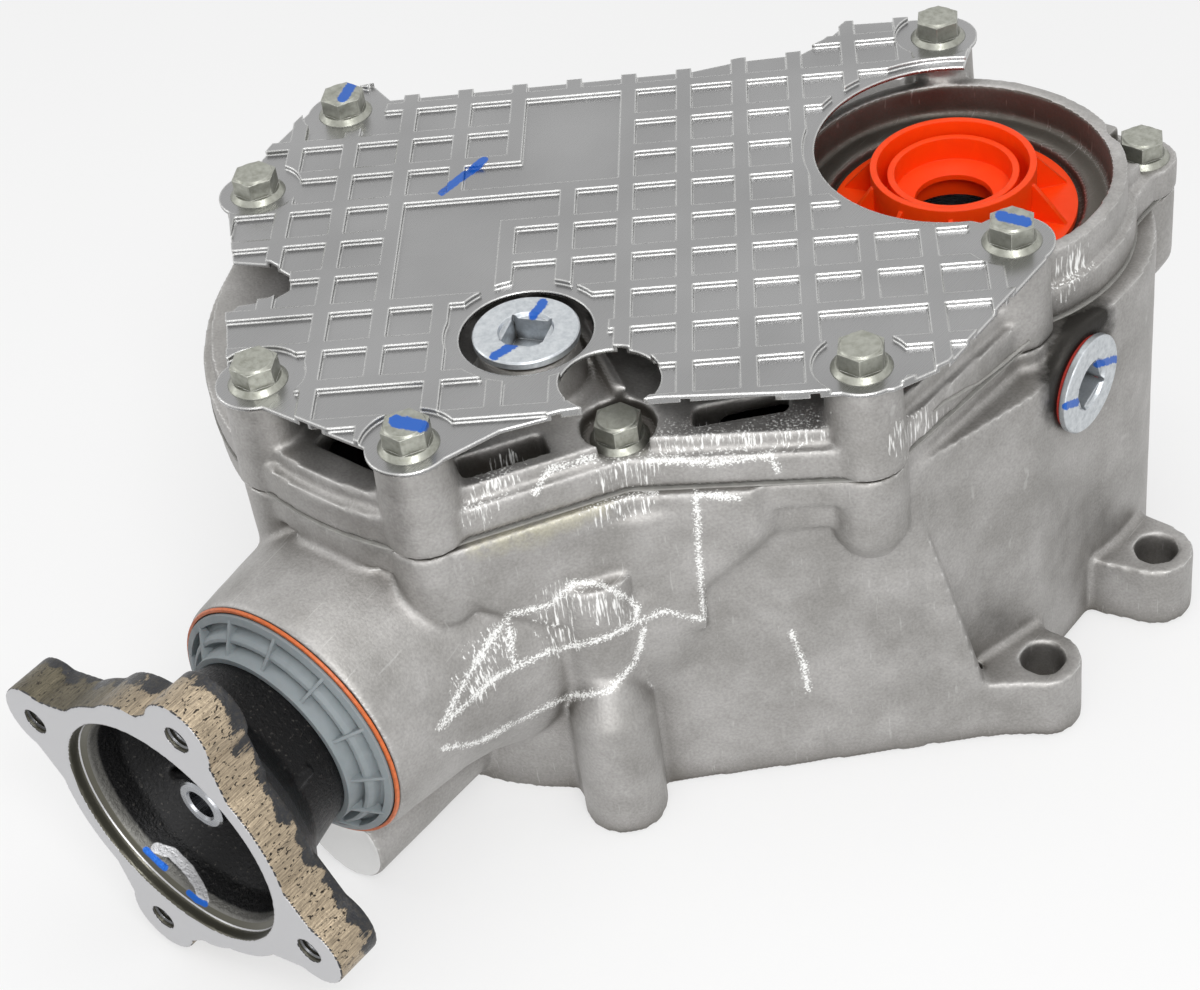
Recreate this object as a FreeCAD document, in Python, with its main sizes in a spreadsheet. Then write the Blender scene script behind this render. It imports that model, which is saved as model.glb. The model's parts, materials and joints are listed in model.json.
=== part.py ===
import FreeCAD, Part
import math
import os
import Sketcher

# Transfer case of a part-time all-wheel-drive car.
# Z runs along the input axis, up from the transaxle mating face to the cover.
# The output flange looks along -Y. The origin is the input axis on the mating face.

V = FreeCAD.Vector
UP = V(0, 0, 1)
doc = FreeCAD.newDocument("TransferCase")
sheet = doc.addObject("Spreadsheet::Sheet", "Sizes")

SIZES = [
    # Axes: the input axis stands at the origin, the ring gear axis beside it
    ("ring_x", -85.6, "ring gear axis from the input axis"),
    ("ring_y", -105.2, "ring gear axis from the input axis"),
    ("pinion_z", 68.5, "height of the pinion axis above the mating face"),
    ("reach", 194.0, "ring gear axis to the face of the output flange"),
    # Levels
    ("seam_z", 126.0, "joint face between housing and cover"),
    ("bead", 0.6, "sealant between housing and cover"),
    ("edge_h", 11.0, "thickness of the cover's bolting edge above the seam"),
    ("deck_z", 143.0, "top of the cover's deck"),
    ("rim_z", 150.0, "top of the wall round the seal recess"),
    ("shield_z", 159.6, "underside of the heat shield"),
    ("sheet_t", 1.2, "heat shield sheet"),
    ("emboss", 1.6, "height of the heat shield's beads"),
    ("floor_t", 8.0, "housing floor"),
    ("wall_t", 4.5, "housing wall round the gears"),
    ("edge_w", 8.0, "bolt line to the outer edge of the case flange"),
    ("boss_r", 12.5, "radius of the bolt bosses"),
    ("pad_pitch", 18.5, "pitch of the pressed pads"), ("pad_share", 0.72, "pad width as a share of the pitch"),
    ("pad_turn", 36.4, "turn of the pad rows, degrees"),
    ("pad_x", -167.3, "corner of the first pad"), ("pad_y", -68.6, "corner of the first pad"),
    # Bolts through the shield and the cover
    ("ba_x", -190.0, "bolt a"), ("ba_y", -80.5, "bolt a"),
    ("bb_x", -183.8, "bolt b"), ("bb_y", -130.5, "bolt b"),
    ("bc_x", -114.4, "bolt c"), ("bc_y", -203.1, "bolt c"),
    ("bd_x", -55.0, "bolt d"), ("bd_y", -202.5, "bolt d"),
    ("be_x", 37.5, "bolt e"), ("be_y", -109.4, "bolt e"),
    ("bf_x", 43.6, "bolt f"), ("bf_y", -36.8, "bolt f"),
    ("bg_x", -37.4, "bolt g"), ("bg_y", 51.4, "bolt g"),
    # Short bolts on the cover's edge
    ("ca_x", -23.0, "cover bolt a"), ("ca_y", -149.0, "cover bolt a"),
    ("cb_x", 40.0, "cover bolt b"), ("cb_y", 50.5, "cover bolt b"),
    ("cc_x", -120.0, "cover bolt c"), ("cc_y", -8.0, "cover bolt c"),
    ("cd_x", -162.0, "cover bolt d"), ("cd_y", -36.0, "cover bolt d"),
    # M8 flange bolts
    ("bolt_r", 4.0, "shank"), ("bolt_play", 0.05, "shank in its hole"),
    ("bolt_af", 13.0, "hexagon across flats"), ("bolt_head", 8.0, "head with its flange"),
    ("bolt_flange_r", 9.2, "flange of the head"), ("bolt_bite", 18.0, "thread in the housing"),
    # Housing
    ("bowl_r", 88.0, "outer radius of the bowl round the ring gear axis"),
    ("bulge_r", 95.5, "the bowl's bulge beside the ring gear"),
    ("lobe_r", 108.0, "the bowl under the seam"),
    ("drum_r", 64.5, "drum round the input axis"),
    ("nose_r", 43.8, "pinion nose at its end"), ("nose_back", 53.6, "nose end behind the flange face"),
    ("nose_root_r", 47.5, "pinion nose at its root"),
    ("lug_r", 12.5, "mounting lug"), ("lug_bore", 7.2, "hole of a mounting lug"), ("lug_h", 24.0, "lug height"),
    ("la_x", 72.0, "lug a"), ("la_y", -67.0, "lug a"),
    ("lb_x", 78.0, "lug b"), ("lb_y", -3.0, "lug b"),
    ("lc_x", -58.0, "lug c"), ("lc_y", 60.0, "lug c"),
    ("ld_x", -170.0, "lug d"), ("ld_y", -58.0, "lug d"),
    ("post_x", -20.5, "front post"), ("post_y", -173.0, "front post"), ("post_r", 13.5, "front post"),
    ("post_thread_r", 5.1, "threaded hole of the front post"), ("post_thread_d", 26.0, "its depth"),
    ("foot_x", -79.0, "foot boss under the nose"), ("foot_z", 17.5, "foot boss axis height"),
    ("foot_r", 17.0, "foot boss"), ("foot_end", 54.5, "foot boss end behind the flange face"),
    # Plugs
    ("fill_x", -58.1, "filler plug"), ("fill_y", -145.1, "filler plug"),
    ("plug_r", 16.3, "plug disc"), ("plug_t", 2.4, "plug disc"), ("plug_shank_r", 9.0, "plug thread"),
    ("plug_shank", 12.0, "plug thread length"), ("plug_sq", 12.8, "square drive recess"),
    ("drain_y", -27.0, "drain plug"), ("drain_z", 107.0, "drain plug"),
    ("drain_face", 62.2, "drain pad from the input axis"),
    # Cap, seals
    ("cap_r", 39.5, "cap flange"), ("cap_tube_r", 26.5, "cap tube"), ("cap_inner_r", 21.0, "cap inner ring"),
    ("cap_hole_r", 12.5, "hole in the cap"), ("cap_wall", 2.2, "cap walls"), ("cap_top_z", 152.5, "cap rim"),
    ("recess_z", 138.5, "floor of the seal recess"), ("recess_r", 50.0, "seal recess"),
    ("seal_w", 7.0, "axle seal width"), ("seal_r", 36.0, "axle seal outside radius"),
    # Output flange
    ("pcd_r", 55.0, "bolt circle radius of the output flange"), ("tap_r", 4.3, "M10 tapping hole"),
    ("ear_r", 12.5, "ear of the output flange"), ("ear_turn", -20.8, "first ear from the X axis, degrees"),
    ("cup_r", 41.0, "mouth of the flange cup"), ("rim_r", 47.5, "rim of the output flange"),
    ("ear_t", 16.0, "thickness of the ears"), ("cup_d", 33.0, "depth of the cup"),
    ("hub_r", 33.4, "back of the output flange"),
    ("neck_r", 30.0, "hub of the output flange inside the dust ring"),
    ("stem_r", 21.0, "stem of the output flange in the seal"),
    ("ring_out", 41.6, "dust ring"),
    # Gears
    ("gear_in", 31.0, "teeth of the input gear"), ("gear_out", 44.0, "teeth of the driven gear"),
    ("gear_w", 20.0, "face width"), ("gear_z", 18.0, "underside of the gear pair"),
    ("ring_teeth", 35.0, "teeth of the ring gear"), ("pin_teeth", 13.0, "teeth of the pinion"),
    ("crown_r", 69.0, "pitch radius of the ring gear"), ("tooth_w", 20.0, "length of the bevel teeth"),
    ("spiral", 30.0, "spiral of the bevel teeth, degrees"),
    ("backlash", 0.35, "gap between the flanks in mesh"),
    # Shafts and bearings
    ("in_r", 27.0, "input shaft"), ("in_bore", 20.0, "hollow of the input shaft"),
    ("in_low", 0.0, "lower end of the input shaft"), ("lead_in", 6.0, "plain bore before the splines"),
    ("in_high", 127.7, "upper end of the input shaft"),
    ("spline_n", 24.0, "splines in the input shaft"), ("spline_d", 1.6, "depth of the splines"),
    ("ctr_r", 18.0, "countershaft"), ("ctr_low", 4.0, "lower end"), ("ctr_high", 141.0, "upper end"),
    ("pin_r", 17.5, "pinion shaft"),
    ("brg_w", 10.0, "width of the input bearings"), ("brg_gap", 0.04, "play between rollers and cup"),
    ("cage", 0.25, "step at shoulders"),
]

row = 0
for alias, number, note in SIZES:
    row += 1
    sheet.set("A%d" % row, alias)
    sheet.set("B%d" % row, "%g" % number)
    sheet.setAlias("B%d" % row, alias)
    sheet.set("C%d" % row, note)
doc.recompute()


class Size:
    """A number from the sheet that carries the expression which gives it."""

    def __init__(self, value, text):
        self.value = float(value)
        self.text = text

    def __add__(self, other):
        other = size(other)
        return Size(self.value + other.value, "(%s + %s)" % (self.text, other.text))

    def __sub__(self, other):
        other = size(other)
        return Size(self.value - other.value, "(%s - %s)" % (self.text, other.text))

    def __mul__(self, other):
        other = size(other)
        return Size(self.value * other.value, "(%s * %s)" % (self.text, other.text))

    def __truediv__(self, other):
        other = size(other)
        return Size(self.value / other.value, "(%s / %s)" % (self.text, other.text))

    def __neg__(self):
        return Size(-self.value, "(0 - %s)" % self.text)

    __radd__ = __add__

    def __rsub__(self, other):
        return size(other) - self

    def __rmul__(self, other):
        return size(other) * self


def size(number):
    if isinstance(number, Size):
        return number
    return Size(number, "(%g)" % number)


def turn_x(radius, degrees):
    """X of a point on a circle."""
    degrees = size(degrees)
    radius = size(radius)
    return Size(radius.value * math.cos(math.radians(degrees.value)),
                "(%s * cos(%s * 1 deg))" % (radius.text, degrees.text))


def turn_y(radius, degrees):
    """Y of a point on a circle."""
    degrees = size(degrees)
    radius = size(radius)
    return Size(radius.value * math.sin(math.radians(degrees.value)),
                "(%s * sin(%s * 1 deg))" % (radius.text, degrees.text))


D = {}
for alias, number, note in SIZES:
    D[alias] = Size(number, "Sizes." + alias)


def d(alias):
    return D[alias]


def n(alias):
    """The plain number, for shapes that Part builds."""
    return D[alias].value


def spot(alias):
    """Centre of a bolt, lug or plug, as its two sizes."""
    return d(alias + "_x"), d(alias + "_y")


def bind(obj, prop, value):
    value = size(value)
    if "Sizes." in value.text:
        obj.setExpression(prop, value.text)
    elif "." not in prop:
        setattr(obj, prop, value.value)


counter = {}


def fresh(kind, name):
    counter[name] = counter.get(name, 0) + 1
    return doc.addObject(kind, "%s_%d" % (name, counter[name]))


def place(obj, x=0, y=0, z=0, axis="Z", turn=0):
    """Stand an object at a point with its own Z along the named axis."""
    rotation = {"Z": FreeCAD.Rotation(), "-Y": FreeCAD.Rotation(V(1, 0, 0), 90),
                "X": FreeCAD.Rotation(V(0, 1, 0), 90)}[axis]
    x, y, z = size(x), size(y), size(z)
    obj.Placement = FreeCAD.Placement(V(x.value, y.value, z.value),
                                      rotation * FreeCAD.Rotation(UP, turn))
    bind(obj, "Placement.Base.x", x)
    bind(obj, "Placement.Base.y", y)
    bind(obj, "Placement.Base.z", z)
    return obj


def cyl(x, y, z, radius, height, axis="Z", name="Round"):
    obj = fresh("Part::Cylinder", name)
    bind(obj, "Radius", radius)
    bind(obj, "Height", height)
    return place(obj, x, y, z, axis)


def cone(x, y, z, lower, upper, height, axis="Z", name="Taper"):
    obj = fresh("Part::Cone", name)
    bind(obj, "Radius1", lower)
    bind(obj, "Radius2", upper)
    bind(obj, "Height", height)
    return place(obj, x, y, z, axis)


def box(x, y, z, length, width, height, turn=0, name="Block"):
    obj = fresh("Part::Box", name)
    bind(obj, "Length", length)
    bind(obj, "Width", width)
    bind(obj, "Height", height)
    return place(obj, x, y, z, "Z", turn)


def fuse(parts, name="Join"):
    obj = fresh("Part::MultiFuse", name)
    obj.Shapes = parts
    obj.Refine = True
    return obj


def cut(base, tools, name="Cut"):
    obj = fresh("Part::Cut", name)
    obj.Base = base
    obj.Tool = tools[0] if len(tools) == 1 else fuse(tools, name + "Tools")
    obj.Refine = True
    return obj


def outline(sketch, points):
    """Close straight edges through the points and tie each corner to the sheet."""
    count = len(points)
    points = [(size(x), size(y)) for x, y in points]
    for i in range(count):
        a = points[i]
        b = points[(i + 1) % count]
        sketch.addGeometry(Part.LineSegment(V(a[0].value, a[1].value, 0), V(b[0].value, b[1].value, 0)), False)
    for i in range(count):
        sketch.addConstraint(Sketcher.Constraint("Coincident", i, 2, (i + 1) % count, 1))
    for i in range(count):
        x, y = points[i]
        k = sketch.addConstraint(Sketcher.Constraint("DistanceX", -1, 1, i, 1, x.value))
        bind(sketch, "Constraints[%d]" % k, x) if "Sizes." in x.text else None
        k = sketch.addConstraint(Sketcher.Constraint("DistanceY", -1, 1, i, 1, y.value))
        bind(sketch, "Constraints[%d]" % k, y) if "Sizes." in y.text else None
    return sketch


def plan(points, name="Plan"):
    return outline(fresh("Sketcher::SketchObject", name), points)


def pad(base, z, height, name="Slab", inset=None):
    """Raise a plan, narrowed by the inset, into a slab."""
    if inset is not None:
        shrunk = fresh("Part::Offset2D", name + "Inset")
        shrunk.Source = base
        shrunk.Join = 2
        bind(shrunk, "Value", -size(inset))
        base = shrunk
    obj = fresh("Part::Extrusion", name)
    obj.Base = base
    obj.DirMode = "Custom"
    obj.Dir = UP
    obj.Solid = True
    bind(obj, "LengthFwd", height)
    return place(obj, 0, 0, z)


def origin_plane(body, role):
    for item in body.Origin.OriginFeatures:
        if item.Role == role:
            return item


def sketch_in(body, points, role="XZ_Plane", name="Profile"):
    body_sketch = body.newObject("Sketcher::SketchObject", name)
    body_sketch.AttachmentSupport = (origin_plane(body, role), [""])
    body_sketch.MapMode = "FlatFace"
    return outline(body_sketch, points)


def turned(label, profile, x=0, y=0, z=0, axis="Z", turn=0):
    """A body turned about its own Z from a profile of radius and height."""
    body = doc.addObject("PartDesign::Body", label)
    sketch = sketch_in(body, profile)
    spin = body.newObject("PartDesign::Revolution", "Turn")
    spin.Profile = sketch
    spin.ReferenceAxis = (sketch, ["V_Axis"])
    spin.Angle = 360
    place(body, x, y, z, axis, turn)
    return body


nodes = []


def node(obj, label):
    obj.Label = label
    nodes.append((obj, label))
    return obj


# Main levels and points
face_y = d("ring_y") - d("reach")
foot_y = face_y + d("foot_end")
cover_z = d("seam_z") + d("bead")
edge_z = cover_z + d("edge_h")
SHIELD_BOLTS = ["ba", "bb", "bc", "bd", "be", "bf", "bg"]
COVER_BOLTS = ["ca", "cb", "cc", "cd"]


def near(alias, dx, dy):
    """A corner of a plan, held at a fixed step from a bolt or lug."""
    x, y = spot(alias)
    return x + dx, y + dy


# Plan of the case flange: a straight edge beside each bolt
case_plan = plan([near("ba", -8, 3), near("bb", -8, -3), near("bc", -4, -8), near("bd", 5, -8),
                  near("ca", 8, -8), near("be", 6, -8), near("be", 9, 4), near("bf", 8, 0),
                  near("cb", 9, 0), near("cb", 0, 8), near("bg", -2, 8), near("cc", -2, 8),
                  near("cd", -6, 8)], "CasePlan")
# What the front wall leaves of the round lobe about the ring gear axis
front_trim = plan([near("bd", 5, -8), near("ca", 8, -8), near("be", 6, -8), near("be", 90, -40),
                   near("bd", 60, -60)], "FrontTrim")
# Plan of the housing's lower walls
low_plan = plan([(d("ring_x") + 52, d("ring_y") - 72), near("be", 10.5, 7),
                 (d("drum_r") - 2.5, d("la_y") + 14), (d("drum_r") - 2.5, 0), (0, d("drum_r") - 1),
                 (d("ring_x") - 48, d("ring_y") + 72)], "LowPlan")


def case_ring(z, height, inset, name):
    """The case outline at one level: lobe, straight walls and the round end at the input axis."""
    inset = size(inset)
    lobe = cyl(d("ring_x"), d("ring_y"), z, d("lobe_r") + 3 - inset, height, name=name + "Lobe")
    # The front wall cuts the lobe off; the trim is pulled in with the inset
    trim = pad(front_trim, z - 1, size(height) + 2, name + "Trim", inset=-inset)
    end = cyl(0, 0, z, d("recess_r") + 8 - inset, height, name=name + "End")
    walls = pad(case_plan, z, height, name + "Walls", inset=inset if inset.value else None)
    return fuse([cut(lobe, [trim], name + "Lobe"), walls, end], name)


# Main housing: one casting from the mating face to the seam
ring_c = (d("ring_x"), d("ring_y"))
flange_low = d("seam_z") - 14

bowl = doc.addObject("PartDesign::Body", "Bowl")
bowl_sketch = sketch_in(bowl, [
    (0, 0), (d("bowl_r") - 2, 0), (d("bowl_r"), d("pinion_z") * 0.5),
    (d("bulge_r") - 1.5, d("pinion_z") - 10), (d("bulge_r"), d("pinion_z") + 4),
    (d("bulge_r") - 1.5, d("pinion_z") + 18), (d("bowl_r") + 1, d("seam_z") - 26),
    (d("bowl_r"), d("seam_z") - 4), (0, d("seam_z") - 4)])
bowl_turn = bowl.newObject("PartDesign::Revolution", "BowlTurn")
bowl_turn.Profile = bowl_sketch
bowl_turn.ReferenceAxis = (bowl_sketch, ["V_Axis"])
bowl_turn.Angle = 360
place(bowl, ring_c[0], ring_c[1], 0)

# The bowl widens to the lobe below the seam, and the front wall trims it there
lobe_taper = cone(ring_c[0], ring_c[1], d("pinion_z") + 6, d("bowl_r") + 2, d("lobe_r"), 32, name="LobeTaper")
lobe_top = cyl(ring_c[0], ring_c[1], d("pinion_z") + 38, d("lobe_r"), d("seam_z") - d("pinion_z") - 38)
front_cut = pad(front_trim, 0, d("seam_z") + 10, "FrontCut", inset=3)
lobe = cut(fuse([lobe_taper, lobe_top]), [front_cut], "UpperLobe")

low_walls = pad(low_plan, 0, d("seam_z") - 6, "LowWalls")
drum = cyl(0, 0, 0, d("drum_r"), d("seam_z"), name="Drum")
high_walls = pad(case_plan, d("pinion_z") + 36, d("seam_z") - d("pinion_z") - 36, "HighWalls", inset=3.5)
case_flange = case_ring(d("seam_z") - 10, 10, 0, "CaseFlange")

housing_parts = [bowl, lobe, low_walls, drum, high_walls, case_flange]

# Bolt bosses, each ending in a shallow cone
for alias in SHIELD_BOLTS + COVER_BOLTS:
    x, y = spot(alias)
    radius = d("boss_r") if alias in SHIELD_BOLTS else d("boss_r") - 1
    housing_parts.append(cyl(x, y, flange_low - 12, radius - 0.5, 26, name="Boss"))
    housing_parts.append(cone(x, y, flange_low - 20, radius - 5, radius - 0.5, 8, name="BossEnd"))

# Along the pinion axis, distances run outward from the ring gear axis
PINION_AXIS = (d("ring_x"), d("ring_y"), d("pinion_z"), "-Y")
nose_end = d("reach") - d("nose_back")

# Pinion nose with its swept root
nose = turned("Nose", [
    (0, 70), (d("nose_root_r") + 10, 70), (d("nose_root_r") + 9, 70 + (nose_end - 70) * 0.14),
    (d("nose_root_r") + 3, 70 + (nose_end - 70) * 0.33), (d("nose_root_r"), 70 + (nose_end - 70) * 0.53),
    (d("nose_r") + 0.6, nose_end - 4), (d("nose_r"), nose_end), (0, nose_end)], *PINION_AXIS)
foot = cyl(d("foot_x"), d("ring_y") - 70, d("foot_z"), d("foot_r"), d("reach") - d("foot_end") - 70, "-Y", "Foot")
foot_web = box(d("foot_x") - 8, foot_y + 4, d("foot_z"), 16, d("reach") - d("foot_end") - 74,
               d("pinion_z") - d("foot_z"), name="FootWeb")
housing_parts += [nose, foot, foot_web]

# Front post: a threaded mount that stands against the bowl
post_h = d("pinion_z") - 22
post = cyl(d("post_x"), d("post_y"), 0, d("post_r"), post_h, name="Post")
post_top = cone(d("post_x"), d("post_y"), post_h, d("post_r"), d("post_r") - 6, 14, name="PostTop")
post_back = cyl(d("post_x") - 7, d("post_y") + 7, 0, d("post_r") + 1, d("pinion_z") + 30, name="PostBack")
housing_parts += [post, post_top, post_back]
# Thicker part of the front wall, down to a ledge above the post
wall_pad = plan([(d("ring_x") + 52, d("ring_y") - 72), (d("ring_x") + 54, d("ring_y") - 74.2),
                 (d("ring_x") + 87.5, d("ring_y") - 43.4), (d("ring_x") + 80, d("ring_y") - 35)], "WallPadPlan")
housing_parts.append(pad(wall_pad, d("pinion_z") + 1.5, d("seam_z") - d("pinion_z") - 9, "WallPad"))

# Mounting lugs, each joined to the wall behind it
LUGS = {
    "la": [(3, -12.4), (6, 11), (-6, 12), (-14, 22), (-40, 10), (-8, -20)],
    "lb": [(3, -12.4), (3, 12.4), (-14, 14), (-30, 8), (-30, -14), (-14, -16)],
    "lc": [(-10, 8), (8, 10), (22, -6), (18, -30), (-24, -20), (-14, -6)],
    "ld": [(-6, -11), (-2, 12), (14, 14), (30, 4), (26, -26), (6, -20)],
}
for alias, corners in LUGS.items():
    x, y = spot(alias)
    web = pad(plan([near(alias, dx, dy) for dx, dy in corners], "LugPlan"), 0, d("lug_h"), "LugWeb")
    housing_parts += [cyl(x, y, 0, d("lug_r"), d("lug_h"), name="Lug"), web]

# Gusset that runs down the front wall to the first lug
gusset = doc.addObject("Part::Wedge", "Gusset")
gusset.Xmin, gusset.Xmax = 0, 31
gusset.X2min, gusset.X2max = 0, 3
gusset.Zmin, gusset.Zmax = -8, 0
gusset.Z2min, gusset.Z2max = -8, 0
gusset.Ymin = 0
bind(gusset, "Ymax", d("seam_z") - 8)
gusset.Placement = FreeCAD.Placement(V(45, -106, 0), FreeCAD.Rotation(UP, 42) * FreeCAD.Rotation(V(1, 0, 0), 90))
bind(gusset, "Placement.Base.x", d("be_x") + 7.0)
bind(gusset, "Placement.Base.y", d("be_y") + 4.5)
housing_parts.append(gusset)

# Flat side of the drum with the drain boss
side = box(30, d("drain_y") - 23, 13, d("drain_face") - 31, 50, d("seam_z") - 23, name="Side")
drain_boss = cyl(30, d("drain_y"), d("drain_z"), d("plug_r") + 2.5, d("drain_face") - 30, "X", "DrainBoss")
drum_rib = box(40, 14, 0, 17.5, 5, d("seam_z") - 10, name="DrumRib")
housing_parts += [side, drain_boss, drum_rib]
# Upright ribs on the back wall and the bowl
for k in range(5):
    angle = 100 + 28 * k
    housing_parts.append(box(ring_c[0], ring_c[1], 0, d("bowl_r") + 5, 4, d("seam_z") - 30, angle, "BowlRib"))

housing_body = fuse(housing_parts, "HousingBody")

# Hollow inside: bowl, drum, the passage between them and the wider part below the seam
gear_r = d("bowl_r") - d("wall_t")
drum_in = d("drum_r") - d("wall_t")
mid_z = d("seam_z") - 21
hollows = [
    cyl(ring_c[0], ring_c[1], d("floor_t"), gear_r, mid_z - d("floor_t"), name="BowlHollow"),
    cyl(0, 0, d("floor_t"), drum_in, mid_z - d("floor_t"), name="DrumHollow"),
    pad(low_plan, d("floor_t"), mid_z - d("floor_t"), "LowHollow", inset=d("wall_t") + 1),
    case_ring(mid_z - 1, d("seam_z") - mid_z + 2, d("edge_w") + 11, "HighHollow"),
    cyl(0, 0, mid_z - 1, d("recess_r") + 0.5, d("seam_z") - mid_z + 2, name="EndHollow"),
    cyl(ring_c[0], ring_c[1], mid_z - 1, d("crown_r") + 2.3, 4, name="RingGearWay"),
]
hub_wall = 6
in_cup_r = d("in_r") + 16
ctr_cup_r = d("ctr_r") + 12
floor_hubs = [
    cyl(0, 0, 0, in_cup_r + hub_wall, d("gear_z") - 0.5, name="InputSeat"),
    cyl(ring_c[0], ring_c[1], 0, ctr_cup_r + hub_wall, d("gear_z") - 1, name="CounterSeat"),
]
shell = fuse([cut(housing_body, hollows, "HousingShell")] + floor_hubs, "HousingHubs")

# Bores
in_low_z = d("floor_t")
ctr_low_z = d("ctr_low")
head_brg = d("crown_r") + 15
# One part in 56.4 of the length between the ring gear's clearance and the nose end
step = (nose_end - head_brg) / 56.4
head_w = step * 18
tail_w = step * 14
seal_nose_w = step * 6.4
head_cup_r = d("pin_r") + 17
tail_brg = head_brg + step * 26
tail_cup_r = d("pin_r") + 14
stem_end = tail_brg + tail_w
seal_at = stem_end + step * 3.6
fit = d("bolt_play")
bores = [
    cyl(0, 0, -1, d("seal_r") + fit, d("floor_t") + 2, name="SealBore"),
    cyl(0, 0, in_low_z, in_cup_r + fit, d("gear_z"), name="InputCupBore"),
    cyl(ring_c[0], ring_c[1], ctr_low_z - d("cage"), ctr_cup_r + fit, d("gear_z"), name="CounterCupBore"),
    turned("NoseBore", [
        (0, 20), (d("pin_r") + 14, 20), (d("pin_r") + 14, 70), (head_cup_r + fit, 70),
        (head_cup_r + fit, head_brg + head_w), (d("pin_r") + 10, head_brg + head_w), (d("pin_r") + 10, tail_brg),
        (tail_cup_r + fit, tail_brg), (tail_cup_r + fit, nose_end - 6.2), (d("ring_out") - 1.2, nose_end - 6.2),
        (d("ring_out") - 1.2, nose_end + 1),
        (0, nose_end + 1)], *PINION_AXIS),
    cyl(d("post_x"), d("post_y"), -1, d("post_thread_r"), d("post_thread_d") + 1, name="PostThread"),
    cyl(d("drain_face") - d("plug_shank") - 8, d("drain_y"), d("drain_z"), d("plug_shank_r") + fit,
        d("plug_shank") + 9, "X", "DrainHole"),
    cyl(d("drain_face"), d("drain_y"), d("drain_z"), d("plug_r") + 1.6, 12, "X", "DrainSeat"),
]
for alias in LUGS:
    x, y = spot(alias)
    bores.append(cyl(x, y, -1, d("lug_bore"), d("lug_h") + 2, name="LugHole"))
for alias in SHIELD_BOLTS + COVER_BOLTS:
    x, y = spot(alias)
    bores.append(cyl(x, y, d("seam_z") - d("bolt_bite") - 2, d("bolt_r") + fit, d("bolt_bite") + 3, name="BoltHole"))
# Two dowels align the cover
DOWELS = [(ring_c[0] + turn_x(102, 262), ring_c[1] + turn_y(102, 262)),
          (ring_c[0] + turn_x(101, 123), ring_c[1] + turn_y(101, 123))]
dowel_r = d("bolt_r") - 0.5
dowel_len = 8
for x, y in DOWELS:
    bores.append(cyl(x, y, d("seam_z") - dowel_len - 0.5, dowel_r + fit, dowel_len + 2, name="DowelHole"))
node(cut(shell, bores, "Housing"), "main_housing")

# Side cover: bolting edge, deck, bosses, seal recess and bearing domes
edge = case_ring(cover_z, d("edge_h"), 0, "CoverEdge")
deck = case_ring(cover_z + 1, d("deck_z") - cover_z - 1, 3.5, "CoverDeck")
rim = cyl(0, 0, cover_z, d("recess_r") + 5, d("rim_z") - cover_z, name="RecessRim")
deck_hollow = case_ring(cover_z - 1, d("recess_z") - cover_z - 1, d("edge_w") + 11, "CoverHollow")
cover_shell = cut(fuse([edge, deck, rim], "CoverBlank"), [deck_hollow], "CoverShell")

cover_parts = [cover_shell]
for alias in SHIELD_BOLTS:
    x, y = spot(alias)
    cover_parts.append(cone(x, y, cover_z, d("boss_r"), d("boss_r") - 1.3, d("shield_z") - cover_z, name="TallBoss"))
for alias in COVER_BOLTS:
    x, y = spot(alias)
    cover_parts.append(cyl(x, y, cover_z, d("boss_r") - 1, d("edge_h"), name="LowBoss"))
dome_r = ctr_cup_r + 5
ctr_high_z = d("ctr_high") - 14
dome_top = d("ctr_high") + 6
in_high_z = d("seam_z") - 9
dome = turned("CounterDome", [
    (0, cover_z), (dome_r, cover_z), (dome_r, d("deck_z")), (dome_r - 2, dome_top - 3),
    (dome_r - 6, dome_top), (0, dome_top)], ring_c[0], ring_c[1], 0)
in_hub = cyl(0, 0, in_high_z - 0.5, in_cup_r + 5, d("recess_z") - in_high_z, name="InputHub")
fill_boss = cone(d("fill_x"), d("fill_y"), cover_z + 8, d("plug_r") + 1, d("plug_r") - 1,
                 d("shield_z") - 1.4 - cover_z - 8, name="FillBoss")
cover_parts += [dome, in_hub, fill_boss]
# Ribs from the dome to the bosses round it
for k in range(8):
    cover_parts.append(box(ring_c[0], ring_c[1], d("deck_z") - 1, d("bowl_r") - 4, 4, 6, 12 + 45 * k, "DeckRib"))
cover_body = fuse(cover_parts, "CoverBody")

seal_z = in_high_z + 11
axle_seal_w = d("seal_w") - 1
cap_seat_z = seal_z + axle_seal_w + 0.3
cover_cuts = [
    cyl(0, 0, d("recess_z"), d("recess_r"), 30, name="Recess"),
    cyl(0, 0, cap_seat_z - 0.3, d("cap_r") + 2, 30, name="CapBore"),
    cyl(0, 0, seal_z, d("seal_r") + fit, 20, name="AxleSealBore"),
    cyl(0, 0, in_high_z - 1, in_cup_r + fit, 11.4, name="InputCupBoreTop"),
    cyl(0, 0, in_high_z - 1, d("in_r") + 4, 30, name="AxleWay"),
    cyl(ring_c[0], ring_c[1], cover_z - 1, ctr_cup_r + fit, d("ctr_high") - cover_z + 1 + d("cage"),
        name="CounterCupTop"),
    cyl(d("fill_x"), d("fill_y"), cover_z - 1, d("plug_shank_r") + fit, 50, name="FillHole"),
]
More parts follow.
